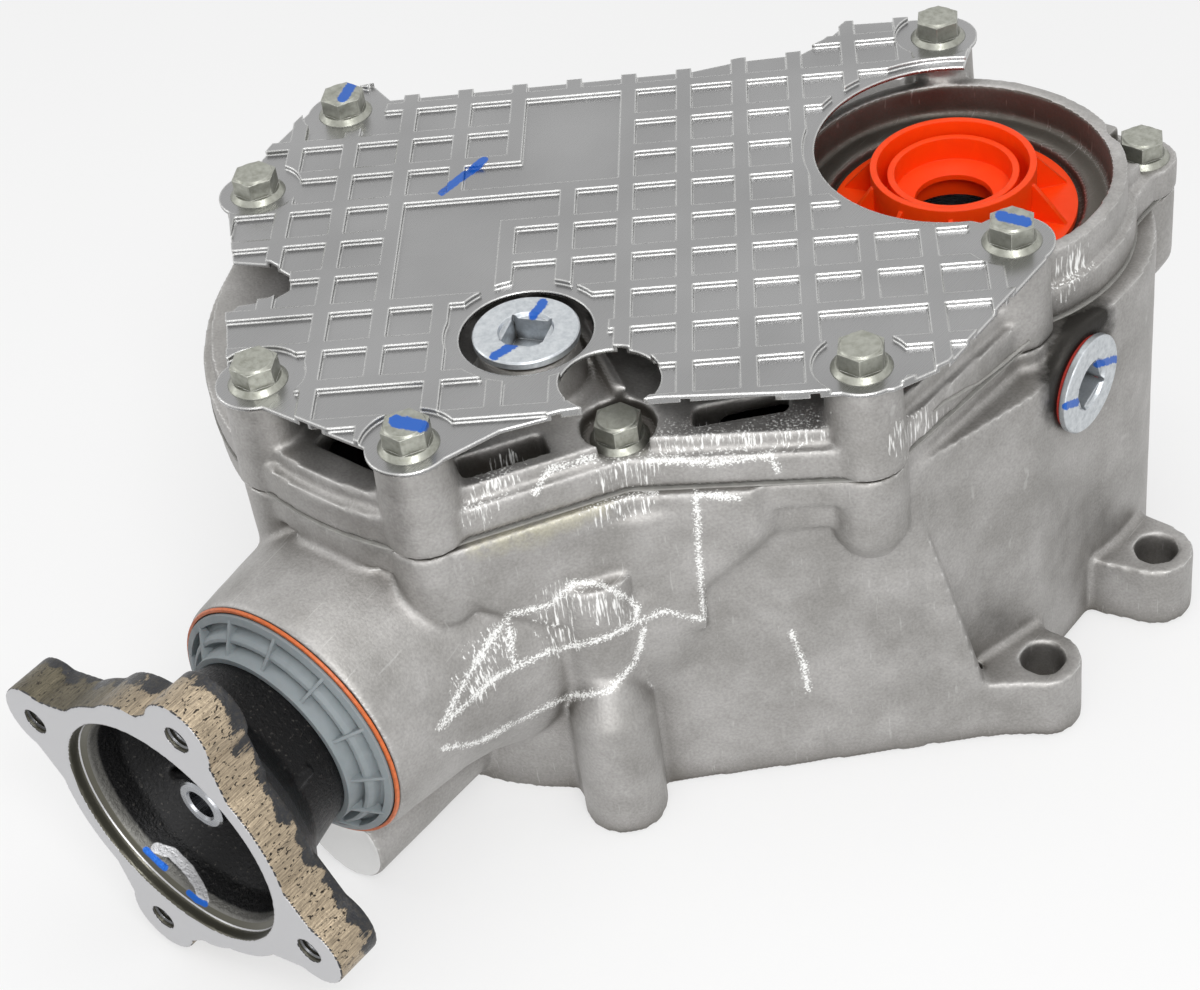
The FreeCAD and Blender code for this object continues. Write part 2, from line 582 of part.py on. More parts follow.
# Wells in the deck behind its front rim
WELLS = [[near("bc", 17, 1), near("bc", 42, 1), near("bc", 42, 11), near("bc", 17, 11)],
         [near("bd", 7.5, 11), near("ca", -9.5, -20), near("ca", -17.5, -14.7), near("bd", -0.5, 16.3)],
         [near("ca", 20.1, 9.8), near("be", -20.6, -9), near("be", -25.7, -1.5), near("ca", 15, 17.3)]]
for corners in WELLS:
    cover_cuts.append(pad(plan(corners, "WellPlan"), cover_z + 3, 40, "Well"))
for alias in SHIELD_BOLTS:
    x, y = spot(alias)
    cover_cuts.append(cyl(x, y, cover_z - 1, d("bolt_r") + fit, 40, name="BoltWay"))
for alias in COVER_BOLTS:
    x, y = spot(alias)
    cover_cuts.append(cyl(x, y, cover_z - 1, d("bolt_r") + fit, 40, name="BoltWay"))
    cover_cuts.append(cyl(x, y, edge_z, d("boss_r") - 1.2, 40, name="Spotface"))
for x, y in DOWELS:
    cover_cuts.append(cyl(x, y, cover_z - 1, dowel_r + fit, dowel_len, name="DowelWay"))
node(cut(cover_body, cover_cuts, "Cover"), "side_cover")

# Sealant bead between the two castings
sealant_ring = case_ring(d("seam_z"), d("bead"), -0.4, "SealantRing")
sealant_cuts = [case_ring(d("seam_z") - 1, 4, d("edge_w") + 10.5, "SealantHollow"),
                cyl(0, 0, d("seam_z") - 1, d("recess_r") + 0.5, 4, name="SealantEnd")]
for alias in SHIELD_BOLTS + COVER_BOLTS:
    x, y = spot(alias)
    sealant_cuts.append(cyl(x, y, d("seam_z") - 1, d("bolt_r") + 0.5, 4, name="SealantHole"))
for x, y in DOWELS:
    sealant_cuts.append(cyl(x, y, d("seam_z") - 1, dowel_r + 0.5, 4, name="SealantHole"))
node(cut(sealant_ring, sealant_cuts, "Sealant"), "case_sealant")

dowels = fresh("Part::Compound", "Dowels")
dowels.Links = [cyl(x, y, d("seam_z") - dowel_len, dowel_r, 2 * dowel_len - 1.5, name="Dowel") for x, y in DOWELS]
node(dowels, "dowel_pins")


# Bolts
def flange_bolt(x, y, seat, length):
    """A flange bolt that stands on its seat: shank, flange and hexagon."""
    shank = cyl(x, y, seat - length, d("bolt_r"), size(length) + 1, name="Shank")
    washer = cone(x, y, seat, d("bolt_flange_r"), d("bolt_flange_r") - 1.6, 1.8, name="BoltFlange")
    hexagon = fresh("Part::Prism", "Hexagon")
    hexagon.Polygon = 6
    bind(hexagon, "Circumradius", d("bolt_af") / 1.732)
    bind(hexagon, "Height", d("bolt_head") - 0.6)
    place(hexagon, x, y, seat)
    crown = cone(x, y, seat + d("bolt_head") - 0.6, d("bolt_af") * 0.5, d("bolt_af") * 0.5 - 0.6, 0.6, name="Crown")
    return fuse([shank, washer, hexagon, crown], "Bolt")


def group(parts, name):
    obj = fresh("Part::Compound", name)
    obj.Links = parts
    return obj


shield_top = d("shield_z") + d("sheet_t")
long_bolt = shield_top - d("seam_z") + d("bolt_bite")
short_bolt = edge_z - d("seam_z") + d("bolt_bite")
node(group([flange_bolt(*spot(a), shield_top, long_bolt) for a in SHIELD_BOLTS], "ShieldBolts"), "shield_bolts")
node(group([flange_bolt(*spot(a), edge_z, short_bolt) for a in COVER_BOLTS], "CoverBolts"), "cover_bolts")

# Heat shield: a stamped sheet whose raised beads run between rows of square pads
SHIELD_EDGE = [near("ba", -13, 5), near("ba", -2, 17), near("ba", 9, 13), near("bg", -62, -57), near("bg", -51, -44),
               near("bg", -35, -31), near("bg", -32, -21), near("bg", -32, -8), near("bg", -12, 5.5),
               near("bg", 11, 6), near("bg", 15, -6), near("bf", -30, 0), near("bf", 7, 7), near("bf", 13.5, -3),
               near("bf", 15, -60), near("be", 13.5, -4), near("be", -8, -20), near("ca", 19, -2), near("ca", -2, -21),
               near("bd", 19, 18), near("bd", 13.5, 2), near("bd", 11, -5), near("bd", -7, -7.5),
               near("bc", -2, -9), near("bc", -12, -1), near("bc", -31, 18), near("bc", -31.5, 24),
               near("bc", -24, 31), near("bc", -22.6, 38), near("bc", -27.6, 44), near("bb", 32, -27.5),
               near("bb", 20, -32.5), near("bb", -6, -8),
               near("bb", -14, 22)]

# Pads stand in rows turned against the case; each is (first column, last column, first row, last row)
BARE_FIELD = [(2, 3, 0, 2), (1, 3, 2, 2), (0, 2, 3, 3), (0, 1, 3, 5)]
WIDE_PADS = [(7, 8, 4, 4), (-3, -2, 6, 6), (-1, 0, 8, 8), (1, 2, 9, 9), (7, 8, 7, 7)]
GRID_COLUMNS = range(-4, 11)
GRID_ROWS = range(-2, 11)


def pad_blocks():
    """Blocks of grid cells pressed flat as one."""
    taken = set()
    blocks = []
    for block in BARE_FIELD + WIDE_PADS:
        blocks.append(block)
        for c in range(block[0], block[1] + 1):
            for r in range(block[2], block[3] + 1):
                taken.add((c, r))
    for c in GRID_COLUMNS:
        for r in GRID_ROWS:
            if (c, r) not in taken:
                blocks.append((c, c, r, r))
    return blocks


def inside(x, y, corners):
    odd = False
    for i in range(len(corners)):
        ax, ay = corners[i]
        bx, by = corners[(i + 1) % len(corners)]
        if (ay > y) != (by > y) and x < ax + (y - ay) * (bx - ax) / (by - ay):
            odd = not odd
    return odd


def pad_faces(grow):
    """Plane faces of every flat place of the sheet, each grown all round."""
    pitch = n("pad_pitch")
    lean = math.radians(n("pad_turn"))
    cos_t, sin_t = math.cos(lean), math.sin(lean)
    edge_points = [(x.value, y.value) for x, y in SHIELD_EDGE]
    faces = []
    for c0, c1, r0, r1 in pad_blocks():
        u0 = c0 * pitch - grow
        u1 = (c1 + n("pad_share")) * pitch + grow
        w0 = -(r1 + n("pad_share") + 0.03) * pitch - grow
        w1 = -r0 * pitch + grow
        corners = []
        for u, w in ((u0, w0), (u1, w0), (u1, w1), (u0, w1)):
            corners.append((n("pad_x") + u * cos_t - w * sin_t, n("pad_y") + u * sin_t + w * cos_t))
        if any(inside(x, y, edge_points) for x, y in corners):
            ring = [V(x, y, 0) for x, y in corners]
            faces.append(Part.Face(Part.makePolygon(ring + ring[:1])))
    return faces


def disc(x, y, radius):
    """Plane round face."""
    return Part.Face(Part.Wire(Part.makeCircle(radius, V(x, y, 0))))


def round_faces(grow):
    """Flat lands round the bolts, the filler plug and the cap."""
    faces = []
    for alias in SHIELD_BOLTS:
        x, y = spot(alias)
        faces.append(disc(x.value, y.value, n("boss_r") + 2 + grow))
    faces.append(disc(n("fill_x"), n("fill_y"), n("plug_r") + 8.5 + grow))
    faces.append(disc(0, 0, n("cap_r") + 8 + grow))
    return faces


ca_x, ca_y = n("ca_x"), n("ca_y")
sheet_ring = [V(x.value, y.value, 0) for x, y in reversed(SHIELD_EDGE)]
sheet_face = Part.Face(Part.makePolygon(sheet_ring + sheet_ring[:1]))
sheet_face = sheet_face.fuse([disc(spot(a)[0].value, spot(a)[1].value, n("boss_r") + 0.5) for a in SHIELD_BOLTS])
sheet_face = max(sheet_face.removeSplitter().Faces, key=lambda f: f.Area)
windows = [disc(0, 0, n("cap_r") + 4.4), disc(n("fill_x"), n("fill_y"), n("plug_r") + 4.1),
           disc(ca_x + 1, ca_y - 2, 15)]
windows += [disc(spot(a)[0].value, spot(a)[1].value, n("bolt_r") + 0.2) for a in SHIELD_BOLTS]
sheet_face = max(sheet_face.cut(windows).Faces, key=lambda f: f.Area)
raised = sheet_face.cut(pad_faces(0)).cut(round_faces(0))
channel = sheet_face.cut(pad_faces(n("sheet_t"))).cut(round_faces(n("sheet_t")))


def layer(face, low, high):
    """The face raised between two levels above the sheet's underside."""
    slabs = []
    for piece in face.Faces:
        slab = piece.copy()
        slab.translate(V(0, 0, n("shield_z") + low))
        slabs.append(slab.extrude(V(0, 0, high - low)))
    return slabs


lower = layer(sheet_face.cut(channel), 0, n("sheet_t"))
middle = layer(raised.cut(channel), n("sheet_t"), n("emboss"))
upper = layer(raised, n("emboss"), n("sheet_t") + n("emboss"))
shield = doc.addObject("Part::Feature", "Shield")
shield.Shape = lower[0].fuse(lower[1:] + middle + upper).removeSplitter()
node(shield, "heat_shield")


# Plugs: disc, square drive and thread, on a soft washer
def plug(label, x, y, z, axis):
    body = turned(label + "Body", [
        (0, -d("plug_shank")), (d("plug_shank_r"), -d("plug_shank")), (d("plug_shank_r"), 0), (d("plug_r"), 0),
        (d("plug_r"), d("plug_t") - 0.5), (d("plug_r") - 0.5, d("plug_t")), (8.6, d("plug_t")),
        (8.0, d("plug_t") - 1.2), (0, d("plug_t") - 1.2)])
    half = d("plug_sq") * 0.5
    drive = box(-half, -half, d("plug_t") - 9, d("plug_sq"), d("plug_sq"), 12, name="Drive")
    spot_bore = cyl(0, 0, -d("plug_shank") - 1, 5, 6, name="PlugLight")
    body = cut(body, [drive, spot_bore], label)
    place(body, x, y, z, axis, 20)
    return body


washer_t = 1.4
fill_seat = d("shield_z") - 1.4
node(plug("FillPlug", d("fill_x"), d("fill_y"), fill_seat + washer_t, "Z"), "fill_plug")
node(turned("FillWasher", [(d("plug_shank_r") + fit, 0), (d("plug_r") - 3, 0), (d("plug_r") - 3, washer_t),
                           (d("plug_shank_r") + fit, washer_t)], d("fill_x"), d("fill_y"), fill_seat), "fill_washer")
node(plug("DrainPlug", d("drain_face") + washer_t, d("drain_y"), d("drain_z"), "X"), "drain_plug")
node(turned("DrainWasher", [(d("plug_shank_r") + fit, 0), (d("plug_r") - 1, 0), (d("plug_r") - 1, washer_t),
                            (d("plug_shank_r") + fit, washer_t)], d("drain_face"), d("drain_y"), d("drain_z"), "X"),
     "drain_washer")

# Transport cap over the axle seal
wall = d("cap_wall")
cap_z = cap_seat_z
disc_t = wall
tube_h = d("cap_top_z") - cap_z
cap_body = turned("CapBody", [
    (d("cap_hole_r"), disc_t + 1), (d("in_bore") - 2.5, disc_t - 2), (d("in_bore") - 2.5, -6), (d("in_bore") - 0.7, -6),
    (d("in_bore") - 0.7, 0), (d("cap_r"), 0), (d("cap_r"), disc_t), (d("cap_tube_r"), disc_t),
    (d("cap_tube_r"), tube_h), (d("cap_tube_r") - wall, tube_h), (d("cap_tube_r") - wall, disc_t + 1),
    (d("cap_inner_r"), disc_t + 1), (d("cap_inner_r"), tube_h - 3), (d("cap_inner_r") - wall, tube_h - 3),
    (d("cap_inner_r") - wall, disc_t + 5), (d("cap_hole_r"), disc_t + 3)])
cap_parts = [cap_body]
for k in range(10):
    fin = doc.addObject("Part::Wedge", "CapFin_%d" % k)
    fin.Xmin, fin.X2min, fin.Zmin, fin.Z2min = 0, 0, -0.8, -0.8
    fin.Zmax, fin.Z2max, fin.Ymin, fin.X2max = 0.8, 0.8, 0, 1.2
    bind(fin, "Xmax", d("cap_r") - d("cap_tube_r") - 1)
    bind(fin, "Ymax", tube_h - disc_t - 3)
    fin.Placement = FreeCAD.Placement(
        V(0, 0, 0), FreeCAD.Rotation(UP, 36 * k + 12) * FreeCAD.Rotation(V(1, 0, 0), 90))
    x, y = turn_x(d("cap_tube_r") - 0.6, 36 * k + 12), turn_y(d("cap_tube_r") - 0.6, 36 * k + 12)
    bind(fin, "Placement.Base.x", x)
    bind(fin, "Placement.Base.y", y)
    bind(fin, "Placement.Base.z", disc_t - 0.2)
    cap_parts.append(fin)
cap = fuse(cap_parts, "Cap")
place(cap, 0, 0, cap_z)
node(cap, "transport_cap")


# Seals
def lip_seal(label, x, y, z, axis, outer, inner, width):
    """A pressed-in seal: flange, thin web and the lip on the shaft."""
    return turned(label, [
        (inner + 0.05, width * 0.35), (inner + 1.6, 0), (outer - 1.8, 0), (outer - 1.8, width * 0.7),
        (outer, width * 0.7), (outer, width), (inner + 2.2, width), (inner + 0.9, width * 0.62)], x, y, z, axis)


node(lip_seal("AxleSeal", 0, 0, seal_z, "Z", d("seal_r"), d("in_bore") - 0.6, axle_seal_w), "axle_seal")
node(lip_seal("InputSeal", 0, 0, 0.6, "Z", d("seal_r"), d("in_r"), d("seal_w")), "input_seal")
out_seal = lip_seal("OutputSeal", 0, 0, 0, "Z", tail_cup_r, d("stem_r"), seal_nose_w)
place(out_seal, d("ring_x"), d("ring_y") - seal_at, d("pinion_z"), "-Y")
node(out_seal, "output_seal")


# Tapered bearings: a cup in the casting and a cone with its rollers on the shaft
def cup_profile(outer, width, lower_open=True):
    wide, narrow = outer - 2.6, outer - 5.4
    low, high = (wide, narrow) if lower_open else (narrow, wide)
    return [(low, 1), (outer, 1), (outer, width - 1), (high, width - 1)]


def cone_profile(inner, outer, width, lower_open=True):
    """Inner race and roller track as one turned ring, a little clear of the cup."""
    gap = d("brg_gap")
    wide, narrow = outer - 2.6 - gap, outer - 5.4 - gap
    low, high = (wide, narrow) if lower_open else (narrow, wide)
    return [(inner, 0), (inner + 3.4, 0), (inner + 3.4, 1), (low, 1), (high, width - 1),
            (inner + 3.4, width - 1), (inner + 3.4, width), (inner, width)]


def bearing_pair(cup_label, cone_label, spots, shaft_r, outer, widths):
    cups, cones = [], []
    for (x, y, z, axis), width, opens in zip(spots, widths, (True, False)):
        cups.append(turned(cup_label + "Cup", cup_profile(outer, width, opens), x, y, z, axis))
        cones.append(turned(cone_label + "Cone", cone_profile(shaft_r, outer, width, opens), x, y, z, axis))
    node(group(cups, cup_label), cup_label)
    node(group(cones, cone_label), cone_label)


bearing_pair("input_bearing_cups", "input_bearing_cones",
             [(0, 0, in_low_z, "Z"), (0, 0, in_high_z, "Z")], d("in_r"), in_cup_r, [d("brg_w") - 0.5, d("brg_w") + 0.5])
bearing_pair("counter_bearing_cups", "counter_bearing_cones",
             [(ring_c[0], ring_c[1], ctr_low_z, "Z"), (ring_c[0], ring_c[1], ctr_high_z, "Z")],
             d("ctr_r") - 3, ctr_cup_r, [size(13), size(13.8)])
head_at = (d("ring_x"), d("ring_y") - head_brg, d("pinion_z"), "-Y")
tail_at = (d("ring_x"), d("ring_y") - tail_brg, d("pinion_z"), "-Y")
cups = [turned("HeadCup", cup_profile(head_cup_r, head_w), *head_at),
        turned("TailCup", cup_profile(tail_cup_r, tail_w, False), *tail_at)]
cones = [turned("HeadCone", cone_profile(d("pin_r"), head_cup_r, head_w), *head_at),
         turned("TailCone", cone_profile(d("pin_r"), tail_cup_r, tail_w, False), *tail_at)]
node(group(cups, "pinion_bearing_cups"), "pinion_bearing_cups")
node(group(cones, "pinion_bearing_cones"), "pinion_bearing_cones")
spacer = turned("Spacer", [
    (d("pin_r") + 0.1, head_brg + head_w), (d("pin_r") + 3, head_brg + head_w),
    (d("pin_r") + 6, (head_brg + head_w + tail_brg) * 0.5),
    (d("pin_r") + 3, tail_brg), (d("pin_r") + 0.1, tail_brg)], *PINION_AXIS)
node(spacer, "pinion_spacer")


# Gear teeth
PRESSURE = math.radians(20)


def involute(x):
    return math.tan(x) - x


def half_angle(radius, pitch_r, half_at_pitch):
    """Half the tooth's angle at a radius, on an involute flank."""
    base = pitch_r * math.cos(PRESSURE)
    here = math.acos(base / radius) if radius > base else 0.0
    return half_at_pitch + involute(PRESSURE) - involute(here)


def spur_wire(teeth, pitch_r, add, ded, phase, z):
    """Outline of a gear at one level; flanks are drawn through three points."""
    half = math.pi / (2 * teeth) - n("backlash") / (4 * pitch_r)
    points = []
    for k in range(teeth):
        middle = phase + 2 * math.pi * k / teeth
        radii = (pitch_r - ded, pitch_r - 0.15 * ded, pitch_r + add)
        rising = [(r, middle - half_angle(r, pitch_r, half)) for r in radii]
        falling = [(r, middle + half_angle(r, pitch_r, half)) for r in reversed(radii)]
        points += [V(r * math.cos(t), r * math.sin(t), z) for r, t in rising + falling]
    return Part.makePolygon(points + points[:1])


def spur_gear(teeth, pitch_r, module, phase, lean, bore):
    """A helical gear between two turned copies of its outline, with a thinned web."""
    width = n("gear_w")
    twist = lean * width * math.tan(math.radians(18)) / pitch_r
    add, ded = 0.8 * module, 1.05 * module
    low = spur_wire(teeth, pitch_r, add, ded, phase - twist / 2, n("gear_z"))
    high = spur_wire(teeth, pitch_r, add, ded, phase + twist / 2, n("gear_z") + width)
    gear = Part.makeLoft([low, high], True, True)
    cuts = [Part.makeCylinder(bore, width + 2, V(0, 0, n("gear_z") - 1))]
    rim_in, hub = pitch_r - ded - 5, bore + 8
    if rim_in > hub + 6:
        for z in (n("gear_z") - 1, n("gear_z") + width * 0.7):
            ring = Part.makeCylinder(rim_in, width * 0.3 + 1, V(0, 0, z))
            cuts.append(ring.cut(Part.makeCylinder(hub, width * 0.3 + 1, V(0, 0, z))))
    return gear.cut(cuts)


teeth_in, teeth_out = int(n("gear_in")), int(n("gear_out"))
centre_gap = math.hypot(n("ring_x"), n("ring_y"))
module_in = 2 * centre_gap / (teeth_in + teeth_out)
toward = math.atan2(n("ring_y"), n("ring_x"))
input_gear = doc.addObject("Part::Feature", "InputGear")
input_gear.Shape = spur_gear(teeth_in, module_in * teeth_in / 2, module_in, toward + math.pi / teeth_in, 1, n("in_r"))
node(input_gear, "input_gear")
driven_gear = doc.addObject("Part::Feature", "DrivenGear")
driven_gear.Shape = spur_gear(teeth_out, module_in * teeth_out / 2, module_in, toward + math.pi, -1, n("ctr_r"))
place(driven_gear, ring_c[0], ring_c[1], 0)
node(driven_gear, "driven_gear")

# Spiral bevel pair. The apex is where the ring gear axis meets the pinion axis
teeth_ring, teeth_pin = int(n("ring_teeth")), int(n("pin_teeth"))
cone_ring = math.atan2(teeth_ring, teeth_pin)
cone_pin = math.pi / 2 - cone_ring
cone_far = n("crown_r") / math.sin(cone_ring)
cone_near = cone_far - n("tooth_w")


def bevel_section(teeth, gamma, hand, phase, at):
    """Points round all teeth at one distance from the apex, in planes square to the pitch cone."""
    radius = at * math.sin(gamma)
    module = 2 * radius / teeth
    virtual = radius / math.cos(gamma)
    half = math.pi * module / 4 / virtual - n("backlash") / (4 * virtual)
    cone_mid = (cone_far + cone_near) / 2
    swing = hand * math.tan(math.radians(n("spiral"))) * math.log(at / cone_mid) / math.sin(gamma)
    flank = []
    for h in (-1.1 * module, -0.15 * module, 0.8 * module):
        turn = half_angle(virtual + h, virtual, half)
        rise = (virtual + h) * math.cos(turn) - virtual
        flank.append((radius + rise * math.cos(gamma), (virtual + h) * math.sin(turn),
                      at * math.cos(gamma) - rise * math.sin(gamma)))
    ring = []
    for k in range(teeth):
        lean = phase + swing + 2 * math.pi * k / teeth
        for sign, line in ((-1, flank), (1, flank[::-1])):
            for out, side, along in line:
                ring.append(V(out * math.cos(lean) - sign * side * math.sin(lean),
                              out * math.sin(lean) + sign * side * math.cos(lean), along))
    return ring


def bevel_gear(teeth, gamma, hand, phase, back=None):
    """A toothed cone with flat ends; its skin is closed with plane faces only."""
    rings = [bevel_section(teeth, gamma, hand, phase, at) for at in (cone_near, (cone_near + cone_far) / 2, cone_far)]
    count = len(rings[0])
    faces = []

    def facet(*corners):
        faces.append(Part.Face(Part.makePolygon(list(corners) + [corners[0]])))

    def strip(low, high):
        for i in range(len(low)):
            j = (i + 1) % len(low)
            facet(low[i], low[j], high[j])
            facet(low[i], high[j], high[i])

    strip(rings[0], rings[1])
    strip(rings[1], rings[2])
    for ring in (rings[0], rings[2]):
        for k in range(0, count, 6):
            facet(*ring[k:k + 6])
    feet = [[p for i, p in enumerate(ring) if i % 6 in (0, 5)] for ring in (rings[0], rings[2])]
    facet(*feet[0])
    if back is None:
        facet(*feet[1])
    else:
        rim = [V(p.x * 1.02, p.y * 1.02, back) for p in feet[1]]
        strip(feet[1], rim)
        facet(*rim)
    shell = Part.makeShell(faces)
    shell.sewShape()
    gear = Part.makeSolid(shell)
    if gear.Volume < 0:
        gear.reverse()
    return gear


def bevel_foot(teeth, gamma, at):
    """Radius and height of the tooth roots at one distance from the apex."""
    foot = bevel_section(teeth, gamma, 1, 0, at)[0]
    return math.hypot(foot.x, foot.y), foot.z


def lathe(points):
    """A solid turned about Z from radius and height pairs."""
    ring = [V(r, 0, z) for r, z in points]
    return Part.Face(Part.makePolygon(ring + ring[:1])).revolve(V(0, 0, 0), UP, 360)


r_far, z_far = bevel_foot(teeth_ring, cone_ring, cone_far)
back_z = z_far + 8
ring_bore = n("ctr_r") + 20
ring_gear = doc.addObject("Part::Feature", "RingGear")
ring_screws = 8
ring_shape = bevel_gear(teeth_ring, cone_ring, 1, -math.pi / 2, back_z)
ring_shape = ring_shape.cut(Part.makeCylinder(ring_bore, back_z + 2))
screw_ring = ring_bore + 8
screw_r = 4.0
for k in range(ring_screws):
    t = 2 * math.pi * k / ring_screws
    hole = Part.makeCylinder(screw_r, 10, V(screw_ring * math.cos(t), screw_ring * math.sin(t), back_z - 7))
    ring_shape = ring_shape.cut(hole)
ring_gear.Shape = ring_shape
place(ring_gear, ring_c[0], ring_c[1], d("pinion_z"))
node(ring_gear, "ring_gear")

# Pinion with its shaft, along the pinion axis
r_far, z_far = bevel_foot(teeth_pin, cone_pin, cone_far)
head = n("crown_r") + 15
shaft_r = n("pin_r")
spline_end = n("reach") - n("cup_d") - 3
thread_r = shaft_r * 0.55
tip_z = n("reach") - n("cup_d") + 13
pinion_stem = lathe([(0, z_far - 3), (shaft_r + 3, z_far - 3), (shaft_r + 3, head), (shaft_r, head), (shaft_r, stem_end.value),
                     (shaft_r - 3, stem_end.value), (shaft_r - 3, spline_end), (thread_r, spline_end),
                     (thread_r, tip_z - 1), (thread_r - 1, tip_z), (3.2, tip_z), (0, tip_z - 4)])
pinion_shape = bevel_gear(teeth_pin, cone_pin, -1, math.pi / 2 + math.pi / teeth_pin).fuse(pinion_stem)
pinion = doc.addObject("Part::Feature", "Pinion")
pinion.Shape = pinion_shape
place(pinion, *PINION_AXIS)
node(pinion, "pinion_shaft")

# Countershaft with the flange that carries the ring gear
carrier_z = n("pinion_z") + back_z
counter_shaft = turned("CounterShaft", [
    (0, d("ctr_low")), (d("ctr_r") - 3, d("ctr_low")), (d("ctr_r") - 3, d("ctr_low") + 13),
    (d("ctr_r"), d("ctr_low") + 13), (d("ctr_r"), carrier_z - 8), (ring_bore - 0.05, carrier_z - 5),
    (ring_bore - 0.05, carrier_z), (ring_bore + 16, carrier_z), (ring_bore + 16, carrier_z + 6),
    (d("ctr_r") + 4, carrier_z + 8), (d("ctr_r") + 4, ctr_high_z), (d("ctr_r") - 3, ctr_high_z),
    (d("ctr_r") - 3, d("ctr_high")), (0, d("ctr_high"))], ring_c[0], ring_c[1], 0)
screw_holes = []
screws = []
for k in range(ring_screws):
    angle = 360.0 * k / ring_screws
    x = ring_c[0] + screw_ring * math.cos(math.radians(angle))
    y = ring_c[1] + screw_ring * math.sin(math.radians(angle))
    screw_holes.append(cyl(x, y, carrier_z - 2, screw_r + 0.1, 14, name="CarrierHole"))
    shank = cyl(x, y, carrier_z - 6, screw_r - 0.05, 13, name="RingScrew")
    hexagon = fresh("Part::Prism", "RingScrewHead")
    hexagon.Polygon = 6
    hexagon.Circumradius = 7
    hexagon.Height = 5
    place(hexagon, x, y, carrier_z + 8.1)
    collar = cyl(x, y, carrier_z + 6, 6.2, 2.2, name="RingScrewCollar")
    screws.append(fuse([shank, hexagon, collar], "RingScrewWhole"))
    screw_holes.append(cyl(x, y, carrier_z + 6, 7.2, 6, name="CarrierSpot"))
node(cut(counter_shaft, screw_holes, "CounterShaftDrilled"), "counter_shaft")
node(group(screws, "RingScrews"), "ring_gear_bolts")

# Hollow input shaft with its inner splines
lead_z = d("in_low") + d("lead_in")
input_tube = turned("InputTube", [
    (d("in_bore") + d("spline_d") + 0.2, d("in_low")), (d("in_r"), d("in_low")), (d("in_r"), d("in_high")),
    (d("in_bore"), d("in_high")), (d("in_bore"), lead_z), (d("in_bore") + d("spline_d") + 0.2, lead_z)])
splines = []
for k in range(int(n("spline_n"))):
    angle = 360.0 * k / int(n("spline_n"))
    splines.append(box(turn_x(d("in_bore") - 0.6, angle) + turn_x(1.2, angle - 90),
                       turn_y(d("in_bore") - 0.6, angle) + turn_y(1.2, angle - 90), lead_z - 1,
                       d("spline_d") + 0.6, 2.4, 34, angle, "Spline"))
node(cut(input_tube, splines, "InputShaft"), "input_shaft")

# Output flange: hub, cup and four ears
face = d("reach")
cup_floor = face - d("cup_d")
flange_turn = turned("FlangeTurn", [
    (d("pin_r") - 2.95, stem_end), (d("stem_r"), stem_end), (d("stem_r"), nose_end - 5),
    (d("neck_r") - 1, nose_end - 5), (d("neck_r"), nose_end - 4), (d("neck_r"), nose_end + 10.6),
    (d("hub_r"), face - 27.5), (d("hub_r") + 2.5, face - 24.5),
    (d("rim_r") - 3.5, face - d("ear_t") - 1), (d("rim_r"), face - d("ear_t") + 2), (d("rim_r"), face),
    (d("cup_r"), face), (d("cup_r"), face - 4), (d("cup_r") - 2.6, face - 5.5), (d("cup_r") - 5, face - 16),
    (d("hub_r") - 6.5, cup_floor + 3), (d("hub_r") - 9, cup_floor), (d("pin_r") - 2.95, cup_floor)])
flange_parts = [flange_turn]
ear_z = face - d("ear_t")
for k in range(4):
    a = d("ear_turn") + 90 * k
    flange_parts.append(cyl(turn_x(d("pcd_r"), a), turn_y(d("pcd_r"), a), ear_z, d("ear_r"), d("ear_t"), name="Ear"))
    # Shoulders that run from the ear into the rim
    web = plan([(turn_x(d("pcd_r") + 2, a - 11.5), turn_y(d("pcd_r") + 2, a - 11.5)),
                (turn_x(d("pcd_r") + 2, a + 11.5), turn_y(d("pcd_r") + 2, a + 11.5)),
                (turn_x(d("rim_r") - 1, a + 27), turn_y(d("rim_r") - 1, a + 27)),
                (turn_x(d("rim_r") - 1, a - 27), turn_y(d("rim_r") - 1, a - 27))], "EarPlan")
    flange_parts.append(pad(web, ear_z, d("ear_t"), "EarWeb"))
# Two swells of the rim, where the hub is balanced
for a in (90, 262):
    flange_parts.append(cyl(turn_x(d("rim_r") - 20, a), turn_y(d("rim_r") - 20, a), ear_z, 24, d("ear_t"), name="Swell"))
flange_solid = fuse(flange_parts, "FlangeSolid")
cup_cut = turned("CupCut", [
    (0, cup_floor), (d("hub_r") - 9, cup_floor), (d("hub_r") - 6.5, cup_floor + 3), (d("cup_r") - 5, face - 16),
    (d("cup_r") - 2.6, face - 5.5), (d("cup_r"), face - 4), (d("cup_r"), face + 1), (0, face + 1)])
flange_cuts = [cup_cut]
for k in range(4):
    a = d("ear_turn") + 90 * k
    x, y = turn_x(d("pcd_r"), a), turn_y(d("pcd_r"), a)
    flange_cuts.append(cyl(x, y, ear_z - 1, d("tap_r"), d("ear_t") + 2, name="TapHole"))
cup_fins = []
for k in range(4):
    fin = box(16, -1.5, cup_floor - 1, 18, 3, 10, name="CupFin")
    a = 25 + 90 * k
    fin.Placement = FreeCAD.Placement(V(0, 0, 0), FreeCAD.Rotation(UP, a))
    bind(fin, "Placement.Base.x", turn_x(d("hub_r") - 17.5, a) + turn_x(1.5, a - 90))
    bind(fin, "Placement.Base.y", turn_y(d("hub_r") - 17.5, a) + turn_y(1.5, a - 90))
    bind(fin, "Placement.Base.z", cup_floor - 1)
    cup_fins.append(fin)
flange = fuse([cut(flange_solid, flange_cuts, "FlangeCut")] + cup_fins, "OutputFlange")
place(flange, *PINION_AXIS)
node(flange, "output_flange")

